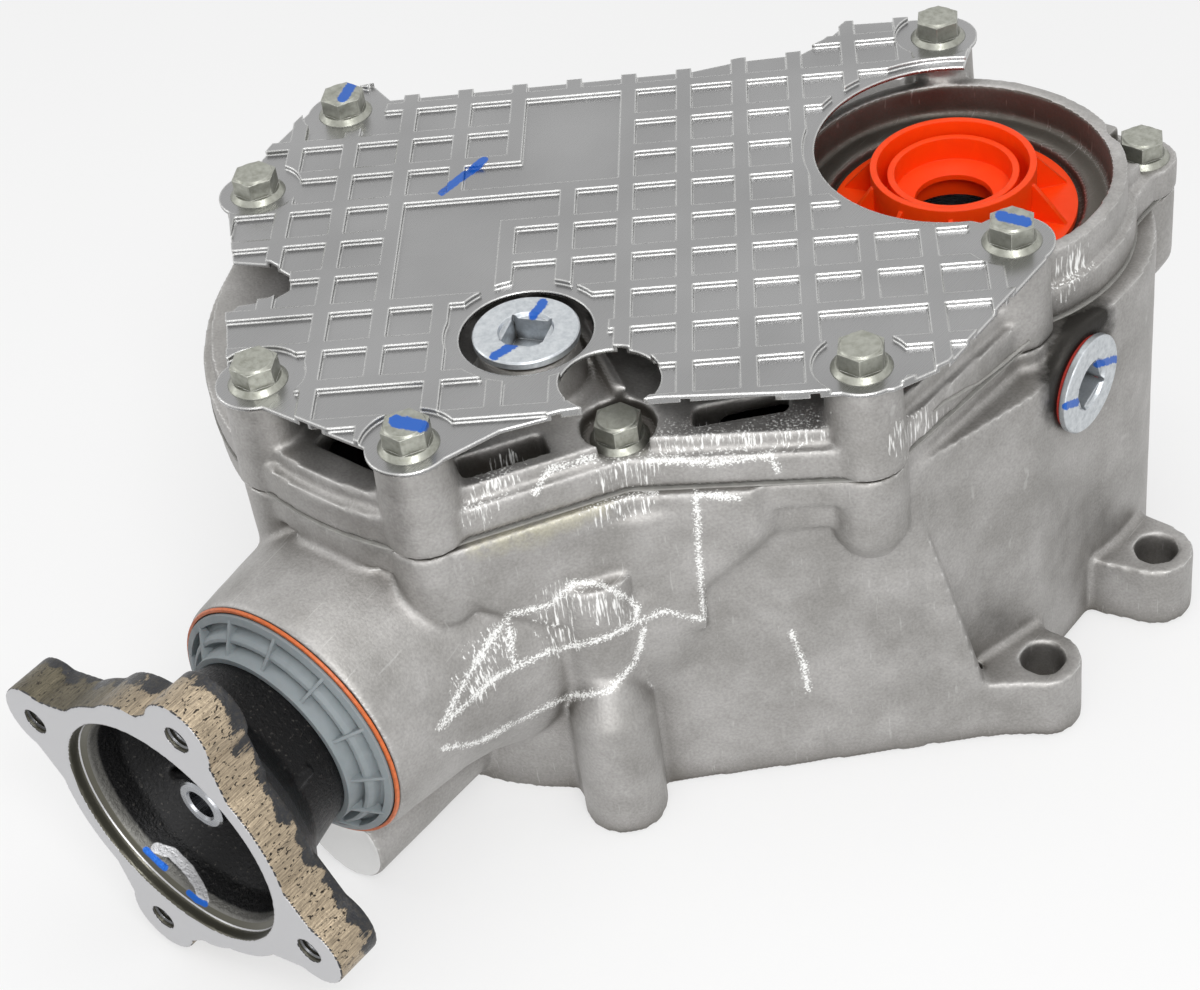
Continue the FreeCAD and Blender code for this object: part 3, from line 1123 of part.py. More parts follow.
nut_af = 27
nut_hex = fresh("Part::Prism", "NutHex")
nut_hex.Polygon = 6
nut_hex.Circumradius = nut_af / 1.732
nut_hex.Height = 9
bind(nut_hex, "Placement.Base.z", cup_floor + 0.02)
nut = cut(fuse([nut_hex, cyl(0, 0, cup_floor + 0.02, nut_af * 0.56, 2, name="NutCollar")], "NutBody"),
          [cyl(0, 0, cup_floor - 1, thread_r + 0.02, 20, name="NutBore")], "PinionNut")
place(nut, *PINION_AXIS)
node(nut, "pinion_nut")

# Dust ring on the hub: a sleeve, a channel with a round bead in it, an outer rim and ribs across
hub_fit = d("neck_r") + 0.02
out = d("ring_out")
dust_parts = [turned("DustTurn", [
    (hub_fit, nose_end - 3.6), (out - 2, nose_end - 3.6), (out - 2, nose_end + 0.8), (out, nose_end + 0.8),
    (out, nose_end + 1.8), (out - 2.4, nose_end + 2.6), (out - 2.9, nose_end + 0.4), (out - 4.8, nose_end + 1.2),
    (out - 5.3, nose_end + 4), (out - 6.1, nose_end + 5.4), (out - 7.1, nose_end + 5.8),
    (out - 8, nose_end + 4.6), (hub_fit + 2.4, nose_end + 3.6), (hub_fit + 1.9, nose_end + 10.2),
    (hub_fit, nose_end + 10.2)])]
rib_count = 13
for k in range(rib_count):
    a = 360.0 * k / rib_count
    rib = plan([(hub_fit + 1, nose_end + 2), (out - 1.2, nose_end + 0.6), (out - 1.2, nose_end + 2.2),
                (hub_fit + 1, nose_end + 9.6)], "DustRibPlan")
    slab = fresh("Part::Extrusion", "DustRib")
    slab.Base = rib
    slab.DirMode = "Custom"
    slab.Dir = UP
    slab.Solid = True
    slab.LengthFwd = 1.1
    # The plan stands upright on the axis and is turned round it
    slab.Placement = FreeCAD.Placement(V(0, 0, 0), FreeCAD.Rotation(UP, a) * FreeCAD.Rotation(V(1, 0, 0), 90))
    dust_parts.append(slab)
dust = fuse(dust_parts, "DustRing")
place(dust, *PINION_AXIS)
node(dust, "dust_ring")
node(turned("NoseLip", [
    (out + 0.4, nose_end), (d("nose_r") - 0.6, nose_end), (d("nose_r") - 0.9, nose_end + 0.9),
    (out + 0.4, nose_end + 0.9)], *PINION_AXIS), "nose_lip")

# Everything is sound before the pieces are written
doc.recompute()
for obj in doc.Objects:
    if "Invalid" in obj.State or "Error" in obj.State:
        raise RuntimeError("failed: " + obj.Name)
for obj, label in nodes:
    if obj.Shape.isNull() or not obj.Shape.isValid() or not obj.Shape.Solids:
        raise RuntimeError("no sound solid: " + label)
os.makedirs("parts", exist_ok=True)
for obj, label in nodes:
    obj.Shape.exportStep("parts/" + label + ".step")
    print(label, len(obj.Shape.Solids), round(obj.Shape.Volume))
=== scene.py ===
# %% [markdown]
# # A transfer case standing on its mating face
# The part is a die-cast gearbox with a stamped heat shield, a flanged output and an orange transport cap.
# Its solids arrive as a fixed frame, one object per piece, in metres. This lesson dresses them: each
# finish is worked out from the real material, and small marks are laid where the photograph shows them.
# Sizes are written in millimetres, as on a drawing, and MM turns them into metres.

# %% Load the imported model
import json
import math

import bmesh
import bpy
from mathutils import Euler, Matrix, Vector
from mathutils.bvhtree import BVHTree


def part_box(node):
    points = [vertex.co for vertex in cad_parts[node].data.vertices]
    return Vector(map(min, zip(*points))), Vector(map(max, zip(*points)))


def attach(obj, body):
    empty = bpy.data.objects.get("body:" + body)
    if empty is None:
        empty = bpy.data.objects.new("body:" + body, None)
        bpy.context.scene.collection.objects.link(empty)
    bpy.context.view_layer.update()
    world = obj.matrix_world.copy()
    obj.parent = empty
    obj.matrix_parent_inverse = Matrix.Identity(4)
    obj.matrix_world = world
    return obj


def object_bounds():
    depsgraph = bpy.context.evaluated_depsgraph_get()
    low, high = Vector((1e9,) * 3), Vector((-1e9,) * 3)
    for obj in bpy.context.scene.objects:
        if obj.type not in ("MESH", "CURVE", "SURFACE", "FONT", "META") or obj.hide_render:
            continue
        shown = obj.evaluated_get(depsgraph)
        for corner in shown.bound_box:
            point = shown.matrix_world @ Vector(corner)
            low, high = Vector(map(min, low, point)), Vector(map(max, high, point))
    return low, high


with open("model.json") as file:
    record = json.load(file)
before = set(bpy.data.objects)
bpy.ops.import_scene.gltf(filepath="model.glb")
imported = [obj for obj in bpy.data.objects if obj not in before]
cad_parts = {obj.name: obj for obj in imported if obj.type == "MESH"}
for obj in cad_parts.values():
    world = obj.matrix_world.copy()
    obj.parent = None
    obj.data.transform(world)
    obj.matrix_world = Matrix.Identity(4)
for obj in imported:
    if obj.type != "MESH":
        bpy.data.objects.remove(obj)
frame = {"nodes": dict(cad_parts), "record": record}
cad_low, cad_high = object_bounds()
MM = 0.001
print("pieces", len(frame["nodes"]), "box", [round((b - a) / MM) for a, b in zip(cad_low, cad_high)], "mm")

# %% [markdown]
# ## The camera
# The photograph was taken with a long lens from above the output flange, and the camera was rolled a
# little. Place, turn and focal length could be tried out by eye, but they were fitted to the bolt
# heads and the flange circle, so the pixels of the picture and of this render name the same points.

# %% Camera at the photograph's angle
PHOTO_WIDTH = 1200
PHOTO_HEIGHT = 990
SENSOR = 36.0
LENS = 75.08
CAMERA_PLACE = Vector((0.3629, -0.5680, 0.6105))
CAMERA_TURN = Euler([math.radians(angle) for angle in (48.731, 6.591, 37.738)], "XYZ")
NEAREST_SEEN = 0.05


def placed(name, data):
    """A new object with this data, put into the scene."""
    made = bpy.data.objects.new(name, data)
    bpy.context.scene.collection.objects.link(made)
    return made


camera = placed("camera", bpy.data.cameras.new("camera"))
camera.data.lens = LENS
camera.data.sensor_width = SENSOR
camera.data.clip_start = NEAREST_SEEN
camera.location = CAMERA_PLACE
camera.rotation_euler = CAMERA_TURN
bpy.context.scene.camera = camera
print("camera", [round(v, 3) for v in camera.location])

# %% [markdown]
# ## Finding a place by its pixel
# Paint strokes and scuffs are easiest to place by where they show in the photograph. A ray from the
# camera through that pixel meets the solids in one point, and the mark is laid there, on the surface
# that carries it, so it stays right from every side.

# %% Ray from a pixel to the part
VIEW_LENGTH = LENS / SENSOR * PHOTO_WIDTH
RAY_END = 10.0
# The thin bead of sealant stays out, so that a mark beside it lands on the casting
solids_now = bpy.context.evaluated_depsgraph_get()
skins = [BVHTree.FromObject(frame["nodes"][name], solids_now)
         for name in frame["nodes"] if name != "case_sealant"]


def on_part(across, down):
    """The point of the part's surface that shows at a pixel of the photograph."""
    ray = Vector((across - PHOTO_WIDTH / 2, PHOTO_HEIGHT / 2 - down, -VIEW_LENGTH))
    ray.rotate(CAMERA_TURN)
    ray.normalize()
    nearest, found = RAY_END, None
    for skin in skins:
        place, _, _, distance = skin.ray_cast(CAMERA_PLACE, ray)
        if place is not None and distance < nearest:
            nearest, found = distance, place
    return found


print("shield under its blue mark at", [round(v / MM, 1) for v in on_part(456, 175)])

# %% [markdown]
# ## Fillets of the castings
# Metal that was cast has no sharp inner or outer corner. Each edge could be filleted by hand,
# but the solids have hundreds of them. A remesh into small even cells and a few rounds of smoothing
# rounds them all by about two cells, as a mould does, and a faint cloud displacement gives
# cast walls their slight waviness. These are modifiers, so the solids below them stay as they are.

# %% Remesh, smooth and waviness on a piece of the frame
SMOOTHING = 0.5
WAVE_SIZE = 20.0


def soften(name, cell, rounds, wave=0.0):
    """Rounds all edges of a piece by about two cells, in millimetres, and may make its skin wavy."""
    piece = frame["nodes"][name]
    cells = piece.modifiers.new("even_cells", "REMESH")
    cells.mode = "VOXEL"
    cells.voxel_size = cell * MM
    cells.use_smooth_shade = True
    fillets = piece.modifiers.new("fillets", "SMOOTH")
    fillets.factor = SMOOTHING
    fillets.iterations = rounds
    if wave:
        clouds = bpy.data.textures.new(name + "_waves", "CLOUDS")
        clouds.noise_scale = WAVE_SIZE * MM
        waves = piece.modifiers.new("cast_waves", "DISPLACE")
        waves.texture = clouds
        waves.texture_coords = "LOCAL"
        waves.strength = wave * MM


soften("main_housing", cell=1.2, rounds=6, wave=0.5)
soften("side_cover", cell=1.1, rounds=5, wave=0.4)
soften("output_flange", cell=0.7, rounds=3)
bpy.context.view_layer.update()

# %% [markdown]
# ## Small tools for finishes
# A finish is a node tree. One function adds a node with its settings and links, one turns the sRGB hex
# values that a colour picker gives into the linear numbers that the renderer needs, and one turns a
# real size in millimetres into a pattern scale. Every tree starts and ends in the same way, so a
# function of its own opens a material and another one links colour, roughness and relief.


# %% Colour, scale and node helpers
def colour(code):
    """Linear colour of an sRGB hex value, by the curve of the sRGB standard."""
    parts = [int(code[i:i + 2], 16) / 255 for i in (1, 3, 5)]
    return tuple(p / 12.92 if p <= 0.04045 else ((p + 0.055) / 1.055) ** 2.4 for p in parts) + (1.0,)


def every(size):
    """Scale of a pattern that repeats about every so many millimetres."""
    return 1.0 / (size * MM)


def add(tree, kind, inputs=None, **settings):
    """Adds a shader node, sets and links it, and gives its first output in use."""
    made = tree.nodes.new("ShaderNode" + kind)
    for name, value in settings.items():
        setattr(made, name, value)
    for key, value in (inputs or {}).items():
        if isinstance(value, bpy.types.NodeSocket):
            tree.links.new(value, made.inputs[key])
        else:
            made.inputs[key].default_value = value
    return next(output for output in made.outputs if output.enabled)


def start(name, **constants):
    """A new material with its constants on the shader, and the part's own coordinates in metres."""
    material = bpy.data.materials.new(name)
    material.use_nodes = True
    tree = material.node_tree
    shader = tree.nodes["Principled BSDF"]
    for key, value in constants.items():
        shader.inputs[key.replace("_", " ")].default_value = value
    where = add(tree, "TexCoord").node.outputs["Object"]
    return material, tree, shader, where


def close(tree, shader, skin, gloss, relief):
    """Links colour, roughness and surface direction to the shader."""
    for value, socket in ((skin, "Base Color"), (gloss, "Roughness"), (relief, "Normal")):
        tree.links.new(value, shader.inputs[socket])


dressed = set()


def dress(material, *nodes):
    """Gives a finish to pieces of the frame."""
    for name in nodes:
        mesh = frame["nodes"][name].data
        if not mesh.materials:
            mesh.materials.append(material)
        for index in range(len(mesh.materials)):
            mesh.materials[index] = material
    dressed.update(nodes)
    print(material.name, "on", ", ".join(nodes))


# %% [markdown]
# ## Masks and layers of colour
# A mask is a number between 0 and 1 for each point of the surface. Masks are folded into one by their
# product, their smallest or their greatest value, and colours are laid over each other like coats of
# paint, each where its own mask is 1. A noise lies mostly between 0.3 and 0.7, so that range is
# stretched when it has to move a value between two limits.

# %% Folding masks, coats of colour and uneven values
NOISE_LOW, NOISE_HIGH = 0.3, 0.7


def folded(tree, how, *values):
    """Several values folded into one, such as their product or the smallest of them."""
    total = values[0]
    for value in values[1:]:
        total = add(tree, "Math", {0: total, 1: value}, operation=how)
    return total


def times(tree, *masks):
    """Masks multiplied with each other."""
    return folded(tree, "MULTIPLY", *masks)


def coats(tree, base, *layers):
    """A base colour with layers over it, each a mask and the colour that shows where it is 1."""
    for mask, tone in layers:
        base = add(tree, "Mix", {0: mask, 6: base, 7: tone}, data_type="RGBA")
    return base


def uneven(tree, noise, low, high):
    """A value that a noise moves between two limits."""
    return add(tree, "MapRange", {"Value": noise, "From Min": NOISE_LOW, "From Max": NOISE_HIGH,
                                  "To Min": low, "To Max": high})


# %% [markdown]
# ## Rounded edges, edges painted light and hollows painted dark
# No cast or stamped edge is sharp. Rounding could be modelled, but the Bevel node rounds the shading
# at every edge of the solids by a real radius. Where its normal leaves the surface's own, there is an
# edge, and there the finishes paint the metal lighter, as a painted highlight and partly as metal that
# handling scuffs bright. The ambient occlusion node finds hollows, which are painted darker as shade.

# %% Edge and hollow masks
EDGE_BEGINS, EDGE_FULL = 0.985, 0.80
HOLLOW_BEGINS, HOLLOW_FULL = 0.85, 0.25
SAMPLES = 6


def soft_edges(tree, radius):
    """The surface direction with its edges rounded by so many millimetres, and a mask of those edges."""
    rounded = add(tree, "Bevel", {"Radius": radius * MM}, samples=SAMPLES)
    true_normal = add(tree, "NewGeometry").node.outputs["True Normal"]
    same = add(tree, "VectorMath", {0: rounded, 1: true_normal}, operation="DOT_PRODUCT")
    return rounded, add(tree, "MapRange", {"Value": same, "From Min": EDGE_BEGINS, "From Max": EDGE_FULL})


def hollows(tree, reach):
    """A mask of the places that walls within so many millimetres shade."""
    open_share = add(tree, "AmbientOcclusion", {"Distance": reach * MM}, samples=SAMPLES).node.outputs["AO"]
    return add(tree, "MapRange", {"Value": open_share, "From Min": HOLLOW_BEGINS, "From Max": HOLLOW_FULL})


# %% [markdown]
# ## Marks along a line
# A paint stroke or a scuff is a line with a width and a ragged border. For each point of the surface the
# nodes work out its distance from the line between two points, shifted by a noise, and the mark is
# where that distance is small. Several lines share one mask through the smallest distance. A straight
# line between two points of a bulge runs under the skin, so depth along the camera's sight counts only
# a little in these distances, and the mark stays whole while nothing far behind it is painted.


# %% Distance from lines between surface points
def chain(*pixels):
    """The lines that join pixels one after the other."""
    return list(zip(pixels, pixels[1:]))


SIGHT = Vector((0.0, 0.0, -1.0))
SIGHT.rotate(CAMERA_TURN)
DEPTH_SHARE = 0.15


def pressed_flat(point):
    """A point with its depth along the sight counted by a small share."""
    return point - SIGHT * point.dot(SIGHT) * (1 - DEPTH_SHARE)


def gap_to(tree, where, lines):
    """The distance of each surface point from the nearest of the lines, each from pixel to pixel."""
    depth = add(tree, "VectorMath", {0: where, 1: SIGHT}, operation="DOT_PRODUCT")
    taken = add(tree, "VectorMath", {0: SIGHT * (1 - DEPTH_SHARE), "Scale": depth}, operation="SCALE")
    flat = add(tree, "VectorMath", {0: where, 1: taken}, operation="SUBTRACT")
    gaps = []
    for first, last in lines:
        head, tail = pressed_flat(on_part(*first)), pressed_flat(on_part(*last))
        along = tail - head
        offset = add(tree, "VectorMath", {0: flat, 1: head}, operation="SUBTRACT")
        reach = add(tree, "VectorMath", {0: offset, 1: along.normalized()}, operation="DOT_PRODUCT")
        held = add(tree, "Clamp", {"Value": reach, "Min": 0.0, "Max": along.length})
        foot = add(tree, "VectorMath", {0: along.normalized(), "Scale": held}, operation="SCALE")
        gaps.append(add(tree, "VectorMath", {0: offset, 1: foot}, operation="DISTANCE"))
    return folded(tree, "MINIMUM", *gaps)


def from_axis(tree, where, centre, across):
    """The distance of each surface point from an axis through a place, by the directions across it."""
    offset = add(tree, "VectorMath", {0: where, 1: centre}, operation="SUBTRACT")
    flat = add(tree, "VectorMath", {0: offset, 1: across}, operation="MULTIPLY")
    return add(tree, "VectorMath", {0: flat}, operation="LENGTH")


# %% Masks of paint strokes and of worn lines
SOFT_BORDER = 0.15
FRAYED_SHARE = 0.9
FRAYED_SIZE = 7.0
SPECK_BEGINS, SPECK_FULL = 0.58, 0.68


def shifted(tree, where, distance, ragged, grit):
    """A distance that a noise moves by up to so many millimetres either way."""
    rough = add(tree, "TexNoise", {"Vector": where, "Scale": every(grit), "Detail": 4.0, "Roughness": 0.7})
    swing = add(tree, "Math", {0: rough, 1: 2 * ragged * MM, 2: -ragged * MM}, operation="MULTIPLY_ADD")
    return add(tree, "Math", {0: distance, 1: swing}, operation="ADD")


def strokes(tree, where, lines, width, ragged, grit):
    """A mask of lines so many millimetres wide, with a border of the noise's size."""
    border = shifted(tree, where, gap_to(tree, where, lines), ragged / 2, grit)
    return add(tree, "MapRange", {"Value": border, "From Min": (width / 2 + SOFT_BORDER) * MM,
                                  "From Max": (width / 2 - SOFT_BORDER) * MM})


def worn(tree, where, lines, width, specks, crowd):
    """A mask of specks that crowd on the lines and thin out over so many millimetres."""
    distance = shifted(tree, where, gap_to(tree, where, lines), width * FRAYED_SHARE, FRAYED_SIZE)
    density = add(tree, "MapRange", {"Value": distance, "From Min": width * MM, "From Max": 0.0, "To Max": crowd})
    dense = add(tree, "Math", {0: specks, 1: density}, operation="ADD")
    near = add(tree, "Math", {0: distance, 1: width * MM}, operation="LESS_THAN")
    return times(tree, near, add(tree, "MapRange", {"Value": dense, "From Min": SPECK_BEGINS,
                                                    "From Max": SPECK_FULL}))


# %% [markdown]
# ## Die-cast aluminium
# The housing and its cover are aluminium, cast under pressure in a steel mould and shot-blasted. The
# skin is a dull mid grey with a fine grain, and it varies in patches, greyer where it was blasted and
# browner where release agent was left. Edges and high places are scuffed to bright metal in the crate, and the
# bright edge colour is partly a painted highlight. Hollows and the recess round the cap are painted darker brown as
# shade.
# The end of the foot boss and the cover's rim are milled flat and shine. Each kind of wear has a small
# mask function, and one tree lays them over each other. Wear is torn by a noise, so that it has no
# clean border; only a milled seat has one. Blasting leaves a grain of about a quarter of a millimetre;
# it is drawn at 0.9 mm, because finer grain would not show.

# %% Colours and sizes of the cast skin
CAST_GREY = colour("#9D9B98")
CAST_PALE = colour("#B5B3B1")
SHADE_BROWN = colour("#4F4940")
RELEASE_AGENT = colour("#BFBBA6")
BARE_METAL_AND_HIGHLIGHT = colour("#E6E6E4")
CHALK = colour("#F0F0EE")
MILLED = colour("#DCDCDB")
SMUDGE_AND_SHADE = colour("#2B2926")
CAST_GRAIN = 0.9
CAST_PATCH = 22.0
RUB_SIZE = 5.0
CRUST_LUMP, CRUST_RISE = 2.6, 3.0
AGENT_REACH, AGENT_CORE = 7.0, 2.0
SMUDGE_REACH, SMUDGE_CORE = 8.0, 3.5
SCRATCH_WIDTH, SCRATCH_LENGTH, SCRATCH_RISE = 0.9, 30.0, 9.0
SCUFF_SPECK = 0.7
SCUFF_WIDTH, SCUFF_CROWD = 1.6, 0.19
FIELD_SCRATCH, FIELD_LENGTH = 0.8, 9.0
FIELD_WIDTH, FIELD_CROWD = 6.0, 0.09


# %% Masks of wear on the cast skin
def release_residue(tree, where, lines, rub):
    """The dried release agent along lines, and the lumps of its crust."""
    distance = shifted(tree, where, gap_to(tree, where, lines), ragged=4.0, grit=6.0)
    near = add(tree, "MapRange", {"Value": distance, "From Min": AGENT_REACH * MM,
                                  "From Max": AGENT_CORE * MM})
    torn = add(tree, "MapRange", {"Value": rub, "From Min": 0.3, "From Max": 0.5, "To Max": 0.7})
    residue = times(tree, near, torn)
    lumps = add(tree, "TexNoise", {"Vector": where, "Scale": every(CRUST_LUMP), "Detail": 5.0, "Roughness": 0.7})
    return residue, times(tree, lumps, residue)


def hair_scratches(tree, where):
    """Sparse fine scratches that run askew over the whole casting."""
    askew = add(tree, "Mapping", {"Vector": where, "Rotation": (0.3, 0.5, 0.9),
                                  "Scale": (every(SCRATCH_WIDTH), every(SCRATCH_LENGTH), every(SCRATCH_RISE))})
    hair = add(tree, "TexNoise", {"Vector": askew, "Scale": 1.0, "Detail": 2.0})
    return add(tree, "MapRange", {"Value": hair, "From Min": 0.68, "From Max": 0.74, "To Max": 0.18})


def chalky_scuffs(tree, where, scuffs, fields):
    """Chalky specks along scuffed lines, and fields of short upright scratches."""
    specks = add(tree, "TexNoise", {"Vector": where, "Scale": every(SCUFF_SPECK), "Detail": 3.0, "Roughness": 0.7})
    upright = add(tree, "Mapping", {"Vector": where, "Scale": (every(FIELD_SCRATCH), every(FIELD_SCRATCH),
                                                              every(FIELD_LENGTH))})
    scratch = add(tree, "TexNoise", {"Vector": upright, "Scale": 1.0, "Detail": 3.0, "Roughness": 0.6})
    return folded(tree, "MAXIMUM", worn(tree, where, scuffs, SCUFF_WIDTH, specks, SCUFF_CROWD),
                  worn(tree, where, fields, FIELD_WIDTH, scratch, FIELD_CROWD))


def oily_smudges(tree, where, lines):
    """Broad dark smears along lines."""
    distance = shifted(tree, where, gap_to(tree, where, lines), ragged=3.0, grit=5.0)
    return add(tree, "MapRange", {"Value": distance, "From Min": SMUDGE_REACH * MM,
                                  "From Max": SMUDGE_CORE * MM, "To Max": 0.95})


# %% Cast aluminium
def cast_aluminium(name, seats_of, scuffs, fields, smudges=None, agent=None, dark=None):
    """Cast skin with patches, grain, edges painted bright as scuffs and highlight, hollows painted dark as shade,
    milled seats, scuffs, scratched fields and smudges.
    """
    material, tree, shader, where = start(name, Metallic=0.9, Roughness=0.5)
    rounded, edge = soft_edges(tree, radius=0.9)
    patch = add(tree, "TexNoise", {"Vector": where, "Scale": every(CAST_PATCH), "Detail": 5.0, "Roughness": 0.6})
    grain = add(tree, "TexNoise", {"Vector": where, "Scale": every(CAST_GRAIN), "Detail": 3.0})
    rub = add(tree, "TexNoise", {"Vector": where, "Scale": every(RUB_SIZE), "Detail": 6.0, "Roughness": 0.75})
    patches = add(tree, "MapRange", {"Value": patch, "From Min": 0.35, "From Max": 0.65})
    skin = coats(tree, CAST_GREY, (patches, CAST_PALE))
    crust = grain
    if agent:
        residue, lumps = release_residue(tree, where, agent, rub)
        skin = coats(tree, skin, (residue, RELEASE_AGENT))
        crust = add(tree, "Math", {0: lumps, 1: CRUST_RISE, 2: grain}, operation="MULTIPLY_ADD")
    skin = add(tree, "Mix", {0: 1.0, 6: skin, 7: uneven(tree, grain, 0.86, 1.06)}, data_type="RGBA",
               blend_type="MULTIPLY")
    # Painted shade: the hollows that the ambient occlusion node finds are coloured darker brown.
    hollow_shade = times(tree, hollows(tree, reach=14.0),
                  add(tree, "MapRange", {"Value": patch, "From Min": 0.3, "From Max": 0.6, "To Min": 0.5}))
    skin = coats(tree, skin, (hollow_shade, SHADE_BROWN))
    # Painted shade: the recess round the cap is coloured darker brown.
    if dark:
        skin = coats(tree, skin, (dark(tree, where), SHADE_BROWN))
    # Edges painted bright: partly metal scuffed in handling, partly a painted highlight.
    scuffed_and_highlit = times(tree, edge, add(tree, "MapRange", {"Value": rub, "From Min": 0.36, "From Max": 0.52}))
    chalky = chalky_scuffs(tree, where, scuffs, fields)
    skin = coats(tree, skin, (scuffed_and_highlit, BARE_METAL_AND_HIGHLIGHT), (hair_scratches(tree, where), BARE_METAL_AND_HIGHLIGHT), (chalky, CHALK))
    if smudges:
        skin = coats(tree, skin, (oily_smudges(tree, where, smudges), SMUDGE_AND_SHADE))
    seats = seats_of(tree, where)
    skin = coats(tree, skin, (seats, MILLED))
    gloss = add(tree, "Mix", {0: seats, 2: uneven(tree, patch, 0.46, 0.62), 3: 0.24}, data_type="FLOAT")
    pits = add(tree, "Math", {0: crust, 1: patch}, operation="ADD")
    relief = add(tree, "Bump", {"Height": pits, "Distance": 0.12 * MM, "Strength": 0.8, "Normal": rounded})
    close(tree, shader, skin, gloss, relief)
    matt = add(tree, "Mix", {0: chalky, 2: 0.9, 3: 0.25}, data_type="FLOAT")
    tree.links.new(matt, shader.inputs["Metallic"])
    return material


# %% Milled seats and the recess painted dark as shade
ALONG_OUTPUT, UPRIGHT = (1.0, 0.0, 1.0), (1.0, 1.0, 0.0)
FOOT_FACE = -244.7
FOOT_MIDDLE = Vector((-79.0, 0.0, 17.5))
FOOT_FLAT = 16.2
FOOT_TOLERANCE = 0.7
RIM_LEVEL = 0.97
RIM_TOLERANCE = 0.45
RECESS_RADIUS = 51.0
RECESS_TOP = 149.4
RECESS_SHADE = 0.8


def housing_seats(tree, where):
    """The foot boss's end, which looks along the output."""
    outward = add(tree, "SeparateXYZ", {0: where}).node.outputs["Y"]
    front = add(tree, "Math", {0: outward, 1: (FOOT_FACE + FOOT_TOLERANCE) * MM}, operation="LESS_THAN")
    radius = from_axis(tree, where, FOOT_MIDDLE * MM, ALONG_OUTPUT)
    return times(tree, front, add(tree, "Math", {0: radius, 1: FOOT_FLAT * MM}, operation="LESS_THAN"))


def cover_seats(tree, where):
    """The level rim round the recess, which a cutter finished."""
    height = add(tree, "SeparateXYZ", {0: where}).node.outputs["Z"]
    outward = add(tree, "NewGeometry").node.outputs["True Normal"]
    rise = add(tree, "SeparateXYZ", {0: outward}).node.outputs["Z"]
    level = add(tree, "Math", {0: rise, 1: RIM_LEVEL}, operation="GREATER_THAN")
    here = add(tree, "Math", {0: height, 1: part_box("side_cover")[1].z, 2: RIM_TOLERANCE * MM}, operation="COMPARE")
    return times(tree, level, here)


def cover_recess(tree, where):
    """The recess round the cap, painted dark as shade."""
    radius = from_axis(tree, where, (0.0, 0.0, 0.0), UPRIGHT)
    inside = add(tree, "Math", {0: radius, 1: RECESS_RADIUS * MM}, operation="LESS_THAN")
    height = add(tree, "SeparateXYZ", {0: where}).node.outputs["Z"]
    below = add(tree, "Math", {0: height, 1: RECESS_TOP * MM}, operation="LESS_THAN")
    return times(tree, inside, below, RECESS_SHADE)


# %% Scuffs, scratched fields and smudges of the housing and the cover, by their pixels
BULGE_SCUFFS = (
    chain((440, 728), (470, 672), (491, 640), (510, 615), (552, 604), (572, 583), (600, 584), (624, 596),
          (638, 608), (634, 623))
    + chain((440, 728), (497, 676), (548, 652), (600, 640), (640, 621), (664, 611), (703, 619))
    + chain((644, 630), (636, 662), (610, 690), (560, 700), (480, 742), (445, 748))
    + chain((508, 618), (514, 668)) + chain((792, 634), (804, 664), (808, 690)))
WALL_SCUFFS = (chain((696, 492), (699, 560), (704, 617)) + chain((696, 494), (738, 498))
               + chain((640, 488), (655, 492)))
WALL_FIELDS = [((600, 510), (640, 492)), ((560, 600), (620, 606)), ((485, 655), (500, 640)),
               ((470, 690), (490, 670)), ((550, 610), (560, 640))]
COVER_SCUFFS = (chain((535, 492), (548, 470), (592, 458))
                + chain((650, 460), (720, 463), (770, 455), (778, 470)))
COVER_FIELDS = [((478, 510), (505, 470)), ((670, 440), (750, 440)), ((780, 432), (805, 425)),
                ((610, 472), (645, 466)), ((905, 440), (930, 425)), ((1060, 280), (1078, 262))]
DRAIN_SMUDGES = chain((1098, 318), (1078, 326), (1065, 348), (1058, 376), (1058, 404))
SEAM_AGENT = [((480, 540), (545, 522)), ((545, 520), (595, 500))]
dress(cast_aluminium("die_cast_aluminium_housing", housing_seats, BULGE_SCUFFS + WALL_SCUFFS, WALL_FIELDS,
                     smudges=DRAIN_SMUDGES, agent=SEAM_AGENT), "main_housing")
dress(cast_aluminium("die_cast_aluminium_cover", cover_seats, COVER_SCUFFS, COVER_FIELDS, dark=cover_recess),
      "side_cover")

# %% [markdown]
# ## Stamped aluminium sheet
# The heat shield is pressed from rolled aluminium. Rolling leaves hair-fine lines in one direction, so
# the sheet is satin rather than mirror, and pressing leaves it slightly wavy, which bends the
# reflections. The beads were drawn over a rounded punch: their edges catch the light as thin bright
# lines, which is what the eye reads first. Real rolling lines lie a few hundredths of a millimetre
# apart; they are drawn 0.2 mm apart, so that they show.

# %% Stamped sheet
SHEET = colour("#979797")
SHEET_PALE = colour("#A1A1A1")
MARKER_BLUE = colour("#1159B4")
ROLL_LINE = 0.2
ROLL_LENGTH, ROLL_RISE = 14.0, 3.0
ROLL_TURN = math.radians(36.4)
SHEET_WAVE = 38.0


